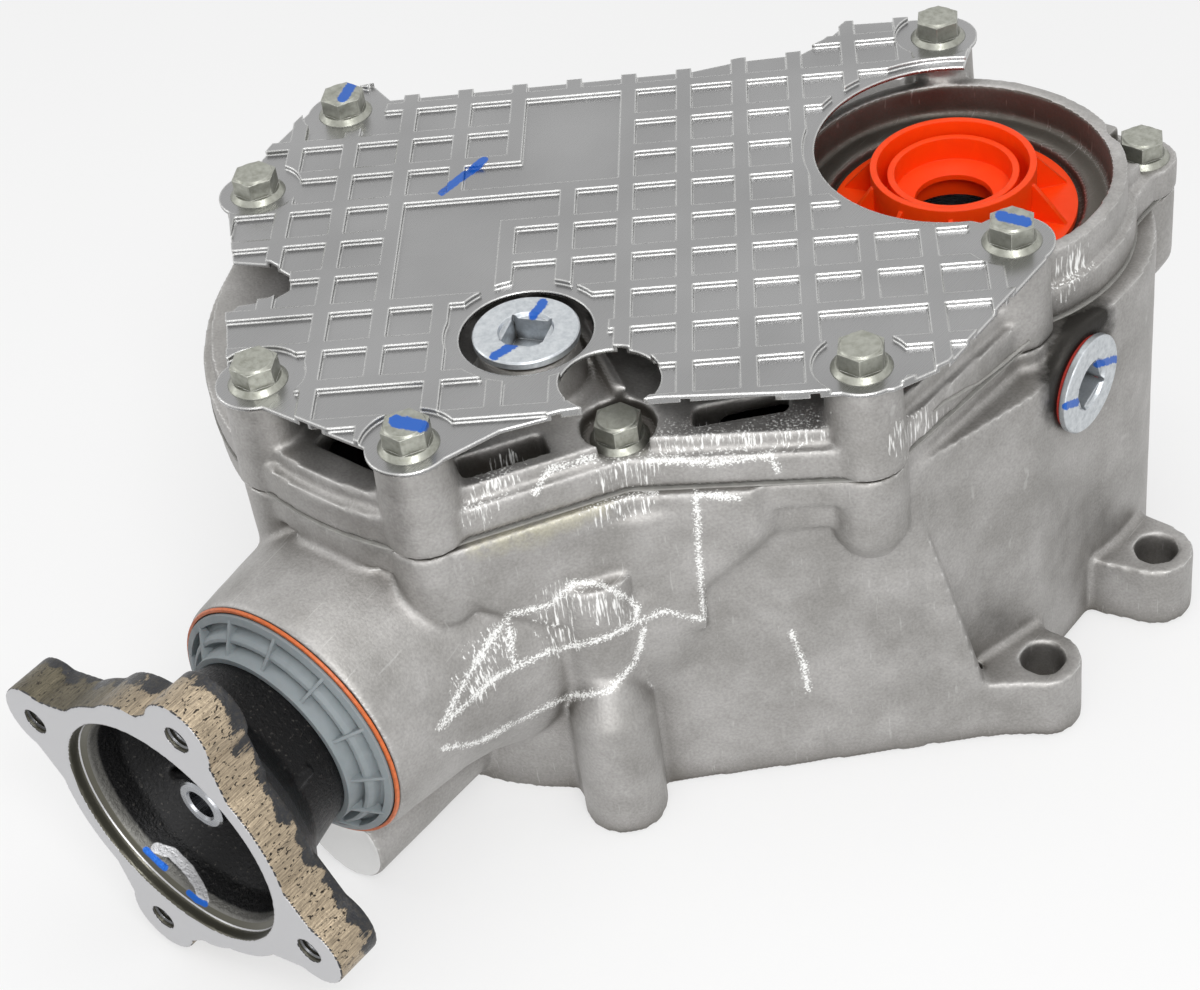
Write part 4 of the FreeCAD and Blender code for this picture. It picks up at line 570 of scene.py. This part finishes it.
def stamped_sheet(name, marks):
    """Rolled and pressed sheet with rounded bead edges painted bright as highlights, and marker strokes."""
    material, tree, shader, where = start(name, Metallic=1.0, Roughness=0.3)
    rounded, edge = soft_edges(tree, radius=1.1)
    rolled = add(tree, "Mapping", {"Vector": where, "Rotation": (0.0, 0.0, ROLL_TURN),
                                   "Scale": (every(ROLL_LINE), every(ROLL_LENGTH), every(ROLL_RISE))})
    lines = add(tree, "TexNoise", {"Vector": rolled, "Scale": 1.0, "Detail": 2.0})
    wave = add(tree, "TexNoise", {"Vector": where, "Scale": every(SHEET_WAVE), "Detail": 2.0})
    ink = strokes(tree, where, marks, width=2.8, ragged=1.2, grit=3.0)
    # The bead edges are painted bright as a highlight.
    skin = coats(tree, SHEET, (uneven(tree, wave, 0.0, 1.0), SHEET_PALE), (edge, BARE_METAL_AND_HIGHLIGHT), (ink, MARKER_BLUE))
    swell = add(tree, "Bump", {"Height": wave, "Distance": 1.0 * MM, "Strength": 0.25, "Normal": rounded})
    relief = add(tree, "Bump", {"Height": lines, "Distance": 0.002 * MM, "Strength": 0.2, "Normal": swell})
    close(tree, shader, skin, uneven(tree, lines, 0.26, 0.3), relief)
    tree.links.new(add(tree, "Mix", {0: ink, 2: 1.0, 3: 0.15}, data_type="FLOAT"), shader.inputs["Metallic"])
    return material


SHIELD_MARKS = [((442, 192), (484, 160))]
dress(stamped_sheet("rolled_aluminium_sheet", SHIELD_MARKS), "heat_shield")

# %% [markdown]
# ## Zinc-plated steel
# The flange bolts are cold-formed steel with a zinc-nickel plating, a warm greenish grey that is a
# little mottled. The plugs have a brighter, bluish zinc. Both have marker strokes from assembly, which
# show that the bolt was tightened. The plating is thin, so edges stay crisp; they are painted slightly lighter as a
# highlight, and hollows are painted darker as shade.
# The filler plug's washer is soft aluminium, pressed flat by the plug; its tree is the same one
# in other greys.

# %% Plated bolts and plugs
MOTTLE_SIZE = 2.2
PLATE_GRAIN = 0.5


def plated_steel(name, base, shade, pale, marks=None, width=0.0):
    """Zinc plating in two tones with edges painted lighter as a highlight, hollows painted darker as shade, and
    marker strokes.
    """
    material, tree, shader, where = start(name, Metallic=0.85, Roughness=0.38)
    rounded, edge = soft_edges(tree, radius=0.45)
    mottle = add(tree, "TexNoise", {"Vector": where, "Scale": every(MOTTLE_SIZE), "Detail": 5.0,
                                    "Roughness": 0.65})
    fine = add(tree, "TexNoise", {"Vector": where, "Scale": every(PLATE_GRAIN), "Detail": 2.0})
    tones = add(tree, "MapRange", {"Value": mottle, "From Min": 0.38, "From Max": 0.66})
    # Painted shade darkens the hollows, and a painted highlight lightens the edges.
    skin = coats(tree, base, (tones, shade), (hollows(tree, reach=4.0), SMUDGE_AND_SHADE), (times(tree, edge, tones), pale))
    if marks:
        ink = strokes(tree, where, marks, width, ragged=2.0, grit=1.6)
        skin = coats(tree, skin, (ink, MARKER_BLUE))
        tree.links.new(add(tree, "Mix", {0: ink, 2: 0.85, 3: 0.1}, data_type="FLOAT"), shader.inputs["Metallic"])
    relief = add(tree, "Bump", {"Height": fine, "Distance": 0.02 * MM, "Strength": 0.7, "Normal": rounded})
    close(tree, shader, skin, uneven(tree, mottle, 0.3, 0.46), relief)
    return material


# The third colour of each set is the painted highlight on the edges.
BOLT_ZINC = (colour("#ABACA3"), colour("#909187"), colour("#D0D1CB"))
PLUG_ZINC = (colour("#CDD1D4"), colour("#B4B9BD"), colour("#E6E9EB"))
WASHER_GREYS = (colour("#AEAFB0"), colour("#96979A"), BARE_METAL_AND_HIGHLIGHT)
BOLT_MARKS = [((343, 98), (352, 84)), ((395, 421), (422, 426)), ((1001, 216), (1026, 222))]
FILL_MARKS = [((533, 316), (543, 303)), ((494, 356), (513, 346))]
DRAIN_MARKS = [((1098, 364), (1122, 357)), ((1066, 406), (1078, 402))]
dress(plated_steel("zinc_nickel_bolts", *BOLT_ZINC, BOLT_MARKS, width=3.6), "shield_bolts")
dress(plated_steel("zinc_nickel_cover_bolts", *BOLT_ZINC), "cover_bolts")
dress(plated_steel("bright_zinc_fill_plug", *PLUG_ZINC, FILL_MARKS, width=2.8), "fill_plug")
dress(plated_steel("bright_zinc_drain_plug", *PLUG_ZINC, DRAIN_MARKS, width=2.4), "drain_plug")
dress(plated_steel("soft_aluminium_washer", *WASHER_GREYS), "fill_washer")

# %% [markdown]
# ## Moulded plastics
# The transport cap is polypropylene in a signal orange, moulded with a smooth, slightly waxy skin: light
# enters it a little, so its shadows stay warm. The dust ring is a filled nylon in a cold light grey,
# drier and more matt. Both show only faint flow marks, so their trees are small.

# %% Transport cap and dust ring
PLASTIC_IOR, PLASTIC_SHEEN = 1.49, 0.25
PEEL_SIZE = 0.8
LIGHT_REACH = 2.0


def moulded_plastic(name, tone, deep, gloss, glow, flow):
    """Smooth moulded skin with faint flow marks and hollows painted in the deeper colour as shade."""
    material, tree, shader, where = start(name, IOR=PLASTIC_IOR, Specular_IOR_Level=PLASTIC_SHEEN,
                                          Subsurface_Weight=glow, Subsurface_Scale=LIGHT_REACH * MM)
    rounded, _ = soft_edges(tree, radius=0.5)
    marks = add(tree, "TexNoise", {"Vector": where, "Scale": every(flow), "Detail": 4.0, "Distortion": 1.2})
    shift = add(tree, "MapRange", {"Value": marks, "From Min": 0.35, "From Max": 0.7, "To Max": 0.35})
    # Hollows are painted in the deeper colour as shade.
    skin = coats(tree, tone, (shift, deep), (times(tree, hollows(tree, reach=8.0), shift), deep))
    peel = add(tree, "TexNoise", {"Vector": where, "Scale": every(PEEL_SIZE), "Detail": 2.0})
    relief = add(tree, "Bump", {"Height": peel, "Distance": 0.02 * MM, "Strength": 0.6, "Normal": rounded})
    close(tree, shader, skin, uneven(tree, marks, gloss - 0.05, gloss + 0.07), relief)
    return material


dress(moulded_plastic("moulded_polypropylene_orange", colour("#FF4808"), colour("#F03C04"),
                      gloss=0.42, glow=0.15, flow=9.0), "transport_cap")
dress(moulded_plastic("filled_nylon_grey", colour("#8D9497"), colour("#7B8386"),
                      gloss=0.5, glow=0.05, flow=6.0), "dust_ring")

# %% [markdown]
# ## Rubbers and sealant
# The seals are black nitrile rubber, matt and slightly dusty. The drain plug sits on a red bonded seal,
# and an orange silicone lip closes the nose. The bead between the castings is grey silicone that was
# squeezed out and cured, so it is lumpy along the seam.

# %% Rubber finishes
RUBBER_IOR = 1.52


def cured_rubber(name, tone, dusty, gloss, lump, height):
    """Matt rubber with a dusty film and a lumpy or fine relief."""
    material, tree, shader, where = start(name, IOR=RUBBER_IOR, Roughness=gloss)
    rounded, _ = soft_edges(tree, radius=0.4)
    film = add(tree, "TexNoise", {"Vector": where, "Scale": every(lump), "Detail": 4.0})
    dust = add(tree, "MapRange", {"Value": film, "From Min": 0.4, "From Max": 0.7, "To Max": 0.6})
    relief = add(tree, "Bump", {"Height": film, "Distance": height * MM, "Strength": 0.8, "Normal": rounded})
    close(tree, shader, coats(tree, tone, (dust, dusty)), uneven(tree, film, gloss - 0.06, gloss + 0.1), relief)
    return material


dress(cured_rubber("nitrile_rubber_black", colour("#1C1C1C"), colour("#333230"),
                   gloss=0.6, lump=2.0, height=0.03), "axle_seal", "input_seal", "output_seal")
dress(cured_rubber("bonded_seal_red", colour("#A5261A"), colour("#7E1F17"),
                   gloss=0.55, lump=1.5, height=0.03), "drain_washer")
dress(cured_rubber("silicone_lip_orange", colour("#D2692E"), colour("#A65026"),
                   gloss=0.4, lump=1.5, height=0.03), "nose_lip")
silicone = cured_rubber("silicone_sealant_grey", colour("#8F8E8A"), colour("#A7A6A2"),
                        gloss=0.5, lump=2.5, height=0.4)
dress(silicone, "case_sealant")

# %% [markdown]
# ## Cast and turned companion flange
# The output flange is ductile iron. Most of it has a thin black coating over a rough cast skin. Its front
# rim was faced on a lathe, so it is bright with fine circles about the axis, and the outsides of the
# ears were turned as well and have flashed over to a golden brown rust with dark streaks along the
# cut. The places of the three finishes follow from the distance from the axis and the surface
# direction, so the tree measures both. A lathe leaves a line every 0.1 to 0.2 mm; the cuts and the
# circles are drawn 0.45 and 0.7 mm apart, so that they show.

# %% Colours and sizes of the flange
IRON_BLACK = colour("#333437")
IRON_BROWN = colour("#494641")
TURNED = colour("#B9B9BB")
RUST_GOLD = colour("#A3947E")
SHADED_RUST_OLIVE = colour("#4C493B")
RUST_DARK = colour("#2A231C")
PILOT_DARK = colour("#56544A")
STEP_GREY = colour("#6B6A66")
CUP_BLACK_AND_SHADE = colour("#0F0F10")
record_mounts = {mount["name"]: mount for mount in frame["record"]["mounts"]}
FLANGE_CENTRE = Vector(record_mounts["output_flange"]["pos_m"])
IRON_GRAIN = 1.3
RUST_DOT = 0.9
CUT_LINE, CUT_LENGTH = 0.45, 6.0
LATHE_CIRCLE = 0.7
FACES_OUT, SIDE_TILT = -0.8, 0.35
RIM_DEPTH = 0.6
EAR_INSIDE = 43.0
BAND_END, BAND_BORDER = 25.0, 0.2
TORN_PATCH, TORN_BY_PATCH, TORN_BY_CUTS = 7.0, 20.0, 7.0
PITS_BY_CUTS = 0.25
OLIVE_FROM, OLIVE_FULL = 4.0, -22.0
PILOT_RADIUS, PILOT_DEPTH, PILOT_FLOOR, PILOT_EDGE = 41.3, 4.0, 5.4, 0.2
LIP_DEPTH, LIP_BORDER = 8.5, 0.5
EARS, EAR_CIRCLE, EAR_TURN = 4, 55.0, -20.8
EAR_TURNS = [math.radians(EAR_TURN + 360 / EARS * ear) for ear in range(EARS)]
EAR_HOLES = [FLANGE_CENTRE + Vector((EAR_CIRCLE * math.cos(turn), 0, EAR_CIRCLE * math.sin(turn))) * MM
             for turn in EAR_TURNS]
HOLE_REACH = 4.8
HOLE_RIM = 0.5
CUP_WEAR = chain((156, 848), (172, 853), (187, 868), (198, 884), (204, 900))
CUP_MARKS = chain((146, 850), (156, 860), (165, 868)) + chain((189, 893), (197, 900), (205, 904))
print("flange centre at", [round(v / MM, 1) for v in FLANGE_CENTRE])


# %% Places and rust of the flange
def in_ear_holes(tree, where):
    """A mask of the four tapped holes."""
    gaps = [from_axis(tree, where, centre, ALONG_OUTPUT) for centre in EAR_HOLES]
    return add(tree, "Math", {0: folded(tree, "MINIMUM", *gaps), 1: HOLE_REACH * MM}, operation="LESS_THAN")


def turned_band(tree, where, depth, facing, streak):
    """The turned outsides of the ears, with a torn border against the coat behind them."""
    patch = add(tree, "TexNoise", {"Vector": where, "Scale": every(TORN_PATCH), "Detail": 3.0})
    teeth = add(tree, "Math", {0: patch, 1: TORN_BY_PATCH * MM, 2: depth}, operation="MULTIPLY_ADD")
    border = add(tree, "Math", {0: streak, 1: TORN_BY_CUTS * MM, 2: teeth}, operation="MULTIPLY_ADD")
    near_front = add(tree, "MapRange", {"Value": border, "From Min": (BAND_END + BAND_BORDER) * MM,
                                        "From Max": (BAND_END - BAND_BORDER) * MM})
    tilt = add(tree, "Math", {0: facing}, operation="ABSOLUTE")
    return times(tree, add(tree, "Math", {0: tilt, 1: SIDE_TILT}, operation="LESS_THAN"), near_front)


def rusty_gold(tree, where, sideward, streak):
    """Golden rust, painted darker olive towards the shaded side as shade, with streaks and dark pits."""
    # Painted shade: the rust turns olive towards the shaded side.
    olive = add(tree, "MapRange", {"Value": sideward, "From Min": OLIVE_FROM * MM, "From Max": OLIVE_FULL * MM,
                                   "To Max": 0.85})
    squat = add(tree, "Mapping", {"Vector": where, "Scale": (1.0, 0.55, 1.0)})
    dots = add(tree, "TexNoise", {"Vector": squat, "Scale": every(RUST_DOT), "Detail": 2.0, "Roughness": 0.5})
    streaked = add(tree, "Math", {0: streak, 1: PITS_BY_CUTS, 2: dots}, operation="MULTIPLY_ADD")
    pits = add(tree, "MapRange", {"Value": streaked, "From Min": 0.735, "From Max": 0.77})
    fine = add(tree, "MapRange", {"Value": streak, "From Min": 0.32, "From Max": 0.68,
                                  "To Min": 0.5, "To Max": 1.5})
    gold = add(tree, "Mix", {0: 1.0, 6: coats(tree, RUST_GOLD, (olive, SHADED_RUST_OLIVE)), 7: fine},
               data_type="RGBA", blend_type="MULTIPLY")
    return coats(tree, gold, (pits, RUST_DARK))


def cup_coats(tree, where, depth, inside, pilot, rough):
    """The colours of the cup from its bottom, black and painted darker as shade, to the pilot bore, with wear and
    marker strokes.
    """
    # The deep part of the cup is black coat, painted darker still as shade.
    bottom = add(tree, "Math", {0: depth, 1: LIP_DEPTH * MM}, operation="GREATER_THAN")
    flakes = add(tree, "MapRange", {"Value": rough, "From Min": 0.68, "From Max": 0.6})
    lip = add(tree, "MapRange", {"Value": depth, "From Min": (LIP_DEPTH + LIP_BORDER) * MM,
                                 "From Max": (LIP_DEPTH - LIP_BORDER) * MM})
    edge = add(tree, "Math", {0: depth, 1: PILOT_DEPTH * MM, 2: PILOT_EDGE * MM}, operation="COMPARE")
    return ((times(tree, bottom, inside, flakes), CUP_BLACK_AND_SHADE), (times(tree, inside, lip), STEP_GREY),
            (pilot, PILOT_DARK),
            (strokes(tree, where, CUP_WEAR, width=3.2, ragged=1.0, grit=3.0), TURNED),
            (strokes(tree, where, CUP_MARKS, width=2.0, ragged=0.8, grit=2.0), MARKER_BLUE),
            (times(tree, edge, inside), TURNED))


# %% Companion flange
def companion_flange(name):
    """Black cast iron with a faced rim, rusty turned ears, a dark pilot, black holes and edges painted light, partly
    as worn coat and partly as a highlight.
    """
    material, tree, shader, where = start(name, Metallic=0.6, Roughness=0.5)
    rounded, edge = soft_edges(tree, radius=0.5)
    offset = add(tree, "VectorMath", {0: where, 1: FLANGE_CENTRE}, operation="SUBTRACT")
    sideward, depth, _ = add(tree, "SeparateXYZ", {0: offset}).node.outputs
    radius = from_axis(tree, where, FLANGE_CENTRE, ALONG_OUTPUT)
    outward = add(tree, "NewGeometry").node.outputs["True Normal"]
    facing = add(tree, "SeparateXYZ", {0: outward}).node.outputs["Y"]
    faced = times(tree, add(tree, "Math", {0: facing, 1: FACES_OUT}, operation="LESS_THAN"),
                  add(tree, "Math", {0: depth, 1: RIM_DEPTH * MM}, operation="LESS_THAN"))
    in_hole = in_ear_holes(tree, where)
    solid = add(tree, "Math", {0: 1.0, 1: in_hole}, operation="SUBTRACT")
    outside = add(tree, "Math", {0: radius, 1: EAR_INSIDE * MM}, operation="GREATER_THAN")
    inside = add(tree, "Math", {0: radius, 1: PILOT_RADIUS * MM}, operation="LESS_THAN")
    pilot = times(tree, inside, add(tree, "Math", {0: depth, 1: PILOT_FLOOR * MM}, operation="LESS_THAN"))
    # Cast skin with glints of rust through the coat
    rough = add(tree, "TexNoise", {"Vector": where, "Scale": every(IRON_GRAIN), "Detail": 4.0, "Roughness": 0.65})
    coat = add(tree, "MapRange", {"Value": rough, "From Min": 0.45, "From Max": 0.75})
    glints = add(tree, "MapRange", {"Value": add(tree, "TexNoise", {"Vector": where, "Scale": every(RUST_DOT)}),
                                    "From Min": 0.7, "From Max": 0.78, "To Max": 0.5})
    cuts = add(tree, "Mapping", {"Vector": where, "Scale": (every(CUT_LINE), every(CUT_LENGTH), every(CUT_LINE))})
    streak = add(tree, "TexNoise", {"Vector": cuts, "Scale": 1.0, "Detail": 3.0, "Roughness": 0.7})
    ears = times(tree, turned_band(tree, where, depth, facing, streak), outside, solid)
    hole_wall = times(tree, in_hole, add(tree, "Math", {0: depth, 1: HOLE_RIM * MM}, operation="GREATER_THAN"))
    # Coated edges are painted light: partly worn coat, partly a painted highlight.
    skin = coats(tree, IRON_BLACK, (coat, IRON_BROWN), (glints, RUST_GOLD),
                 (ears, rusty_gold(tree, where, sideward, streak)),
                 *cup_coats(tree, where, depth, inside, pilot, rough), (faced, TURNED), (hole_wall, PILOT_DARK),
                 (times(tree, edge, coat, outside, solid), TURNED))
    turn = add(tree, "Math", {0: radius, 1: 2 * math.pi / (LATHE_CIRCLE * MM)}, operation="MULTIPLY")
    circles = add(tree, "Math", {0: turn}, operation="SINE")
    shine = add(tree, "MapRange", {"Value": circles, "From Min": -1.0, "From Max": 1.0,
                                   "To Min": 0.3, "To Max": 0.33})
    satin = add(tree, "Mix", {0: pilot, 2: uneven(tree, rough, 0.26, 0.5), 3: 0.28}, data_type="FLOAT")
    gloss = add(tree, "Mix", {0: faced, 2: satin, 3: shine}, data_type="FLOAT")
    lumps = add(tree, "Bump", {"Height": rough, "Distance": 0.3 * MM, "Strength": 1.0, "Normal": rounded})
    relief = add(tree, "Bump", {"Height": times(tree, streak, ears), "Distance": 0.2 * MM, "Strength": 0.8,
                                "Normal": lumps})
    machined = folded(tree, "MAXIMUM", faced, pilot)
    calm = add(tree, "Mix", {0: machined, 4: relief, 5: rounded}, data_type="VECTOR")
    close(tree, shader, skin, gloss, calm)
    return material


dress(companion_flange("ductile_iron_flange"), "output_flange")

# %% [markdown]
# ## Threads of the ears
# The holes of the ears are tapped. A real thread is a ridge that climbs round the wall, so a wedge is
# carried along a helix in each hole; a picture of lines would look flat from the side. The ridge is
# part of the flange and turns with it.

# %% A helical ridge in each tapped hole
THREAD_PITCH = 1.5
THREAD_WEDGE = ((4.35, -0.6), (3.7, 0.0), (4.35, 0.6))
THREAD_FIRST = 0.9
THREAD_TURNS = 8
THREAD_STEPS = 32


def thread_ridge(mesh, centre):
    """Adds a wedge that climbs round the wall of one hole."""
    rows = []
    for step in range(THREAD_TURNS * THREAD_STEPS + 1):
        angle = 2 * math.pi * step / THREAD_STEPS
        inward = THREAD_FIRST + THREAD_PITCH * step / THREAD_STEPS
        rows.append([mesh.verts.new(centre + Vector((radius * math.cos(angle), inward + shift,
                                                     radius * math.sin(angle))) * MM)
                     for radius, shift in THREAD_WEDGE])
    for low, high in zip(rows, rows[1:]):
        for first, second in ((0, 1), (1, 2), (2, 0)):
            mesh.faces.new((low[first], low[second], high[second], high[first]))
    mesh.faces.new(rows[0][::-1])
    mesh.faces.new(rows[-1])


def finished_mesh(name, laid):
    """A mesh of the corners and faces that were laid, with every face turned outwards."""
    bmesh.ops.recalc_face_normals(laid, faces=laid.faces)
    mesh = bpy.data.meshes.new(name)
    laid.to_mesh(mesh)
    laid.free()
    return mesh


laid_ridges = bmesh.new()
for hole in EAR_HOLES:
    thread_ridge(laid_ridges, hole)
threads = placed("ear_threads", finished_mesh("ear_threads", laid_ridges))
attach(threads, "output")
print("thread ridges in", len(EAR_HOLES), "holes,", len(threads.data.polygons), "faces")

# %% [markdown]
# ## End of the shaft and the squeezed-out sealant
# A turned collar with a centre bore stands in the cup, in front of the nut. It could be a piece of pipe,
# but its rims are chamfered, so a lathe profile is spun round the output axis. Below the orange cap the
# sealant was pressed out of the seam. It is a thin tube, laid from point to point along the joint, and
# it swells and narrows, because two castings do not squeeze their sealant out evenly.

# %% Collar in the cup
COLLAR_PROFILE = ((5.0, -279.4), (5.0, -285.4), (5.7, -286.2), (7.9, -286.2), (8.7, -285.4), (8.7, -279.4))
COLLAR_STEPS = 56
laid_collar = bmesh.new()
angles = [2 * math.pi * step / COLLAR_STEPS for step in range(COLLAR_STEPS)]
rings = []
for radius, along in COLLAR_PROFILE:
    rings.append([laid_collar.verts.new((FLANGE_CENTRE.x + radius * math.cos(angle) * MM, along * MM,
                                         FLANGE_CENTRE.z + radius * math.sin(angle) * MM)) for angle in angles])
for low, high in zip(rings, rings[1:] + rings[:1]):
    for step in range(COLLAR_STEPS):
        after = (step + 1) % COLLAR_STEPS
        laid_collar.faces.new((low[step], low[after], high[after], high[step]))
collar = placed("shaft_collar", finished_mesh("shaft_collar", laid_collar))
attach(collar, "output")
print("collar of", len(collar.data.polygons), "faces")

# %% Squeezed-out sealant along the seam
SEAM_PIXELS = ((934, 411), (944, 402), (955, 396), (966, 389), (978, 383), (990, 374), (1003, 363),
               (1016, 352), (1030, 341))
SMEAR_RADIUS, SMEAR_SIDES = 0.8, 3
THINNEST, LUMP_STEP = 0.55, 2.4
smear_curve = bpy.data.curves.new("seam_smear", "CURVE")
smear_curve.dimensions = "3D"
smear_curve.bevel_depth = SMEAR_RADIUS * MM
smear_curve.bevel_resolution = SMEAR_SIDES
smear_curve.use_fill_caps = True
smear_line = smear_curve.splines.new("POLY")
smear_line.points.add(len(SEAM_PIXELS) - 1)
for index, pixel in enumerate(SEAM_PIXELS):
    smear_line.points[index].co = (*on_part(*pixel), 1.0)
    smear_line.points[index].radius = THINNEST + (1 - THINNEST) * math.sin(LUMP_STEP * index) ** 2
smear_tube = bpy.data.objects.new("seam_smear_line", smear_curve)
smear = placed("seam_smear", bpy.data.meshes.new_from_object(smear_tube))
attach(smear, "case")
smear.data.materials.clear()
smear.data.materials.append(silicone)
print("seam smear of", len(smear.data.polygons), "faces")

# %% [markdown]
# ## Steel inside
# Shafts, races, gears and screws are hidden while the case is closed, but they are pieces of the part
# and are dressed like the rest. Races and shafts are ground, so they carry fine lines round their
# axis. Gear steel is hardened and shot-peened, a darker grey with a dusty grain, and the screws and
# the nut are blackened with oil. Grinding lines are far finer than a tenth of a millimetre; they are
# drawn 0.4 to 0.8 mm apart, so that they show.

# %% Ground, hardened and blackened steel
TINT_SIZE = 16.0
LINE_LENGTH = 12.0


def machine_steel(name, tone, deep, gloss, line):
    """Steel with cutting lines of a given spacing, patches of heat tint, rounded edges and edges painted light as a
    highlight.
    """
    material, tree, shader, where = start(name, Metallic=1.0, Roughness=gloss)
    rounded, edge = soft_edges(tree, radius=0.3)
    drawn = add(tree, "Mapping", {"Vector": where, "Scale": (every(LINE_LENGTH), every(LINE_LENGTH), every(line))})
    lines = add(tree, "TexNoise", {"Vector": drawn, "Scale": 1.0, "Detail": 3.0})
    tint = add(tree, "TexNoise", {"Vector": where, "Scale": every(TINT_SIZE), "Detail": 3.0})
    tones = add(tree, "MapRange", {"Value": tint, "From Min": 0.35, "From Max": 0.65})
    # Edges are painted light as a highlight.
    skin = coats(tree, tone, (tones, deep), (times(tree, edge, tones), BARE_METAL_AND_HIGHLIGHT))
    relief = add(tree, "Bump", {"Height": lines, "Distance": 0.012 * MM, "Strength": 0.7, "Normal": rounded})
    close(tree, shader, skin, uneven(tree, lines, gloss - 0.06, gloss + 0.08), relief)
    return material


bearing_steel = machine_steel("ground_bearing_steel", colour("#B0B2B5"), colour("#9B9DA1"), gloss=0.24, line=0.4)
collar.data.materials.append(bearing_steel)
dress(bearing_steel, "input_bearing_cups", "counter_bearing_cups", "pinion_bearing_cups", "input_bearing_cones",
      "counter_bearing_cones", "pinion_bearing_cones", "pinion_spacer", "dowel_pins", "input_shaft",
      "counter_shaft")
dress(machine_steel("hardened_gear_steel", colour("#7D7E80"), colour("#636466"), gloss=0.36, line=0.8),
      "input_gear", "driven_gear", "ring_gear", "pinion_shaft")
dress(machine_steel("blackened_screw_steel", colour("#3A3A3C"), colour("#29292B"), gloss=0.4, line=0.6),
      "ring_gear_bolts", "pinion_nut")
threads.data.materials.append(machine_steel("cut_iron_threads", colour("#77787A"), colour("#4A4A4B"),
                                            gloss=0.3, line=0.5))
print("pieces without a finish:", sorted(set(frame["nodes"]) - dressed))

# %% [markdown]
# ## Floor and light
# The photograph is cut out on white. A pale floor stands in for it: to the camera most of its
# brightness comes from its own colour, and the rest from the lamps, so it stays white and still
# keeps the shadow. The light is an even studio: a bright surround, one broad lamp over the shield,
# one in front, one at the left, and one above the camera, which draws the thin highlights along
# the beads.

# %% Floor
FLOOR_HALF = 4.0
FLOOR_GAP = 0.2
FIBRE_SCALE = 40.0
OWN_LIGHT = 0.6


def seen_rays(tree):
    """A mask of the rays from the camera, off a mirror and through clear matter."""
    rays = add(tree, "LightPath").node.outputs
    return folded(tree, "MAXIMUM", rays["Is Camera Ray"], rays["Is Glossy Ray"], rays["Is Transmission Ray"])


floor_mesh = bpy.data.meshes.new("floor")
corners = [(x * FLOOR_HALF, y * FLOOR_HALF, 0) for x, y in ((-1, -1), (1, -1), (1, 1), (-1, 1))]
floor_mesh.from_pydata(corners, [], [(0, 1, 2, 3)])
floor = placed("floor", floor_mesh)
floor.location.z = cad_low.z - FLOOR_GAP * MM
paper = bpy.data.materials.new("white_paper")
paper.use_nodes = True
tree = paper.node_tree
tree.nodes.remove(tree.nodes["Principled BSDF"])
fibre = add(tree, "TexNoise", {"Scale": FIBRE_SCALE})
matt = add(tree, "BsdfDiffuse", {"Color": add(tree, "MapRange", {"Value": fibre, "To Min": 0.84, "To Max": 0.86})})
bright = add(tree, "Emission", {"Color": (1.0, 1.0, 1.0, 1.0), "Strength": 1.0})
mixed = add(tree, "MixShader", {0: times(tree, seen_rays(tree), OWN_LIGHT), 1: matt, 2: bright})
tree.links.new(mixed, tree.nodes["Material Output"].inputs["Surface"])
floor_mesh.materials.append(paper)
print("floor at", round(floor.location.z / MM, 1), "mm")

# %% World and lamps
SURROUND, SURROUND_SEEN = 0.55, 1.0
world = bpy.data.worlds.new("studio")
bpy.context.scene.world = world
world.use_nodes = True
tree = world.node_tree
sky = tree.nodes["Background"]
sky.inputs["Color"].default_value = (1.0, 1.0, 1.0, 1.0)
strength = add(tree, "MapRange", {"Value": seen_rays(tree), "To Min": SURROUND, "To Max": SURROUND_SEEN})
tree.links.new(strength, sky.inputs["Strength"])
middle = (cad_low + cad_high) / 2


def softbox(name, place, size, watts):
    """A square studio lamp that looks at the middle of the part."""
    lamp = bpy.data.lights.new(name, "AREA")
    lamp.size = size
    lamp.energy = watts
    holder = placed(name, lamp)
    holder.location = place
    holder.rotation_euler = (middle - Vector(place)).to_track_quat("-Z", "Y").to_euler()
    print("lamp", name, watts, "W")


softbox("overhead", (0.0, 0.0, 1.3), size=0.7, watts=3.0)
softbox("over_camera", (0.62, -0.62, 1.0), size=0.36, watts=5.5)
softbox("front", (0.58, -1.24, 0.3), size=0.8, watts=6.0)
softbox("left", (-0.9, -0.6, 0.6), size=0.5, watts=1.2)

# %% Plain colour
bpy.context.scene.view_settings.view_transform = "Standard"
bpy.context.view_layer.update()
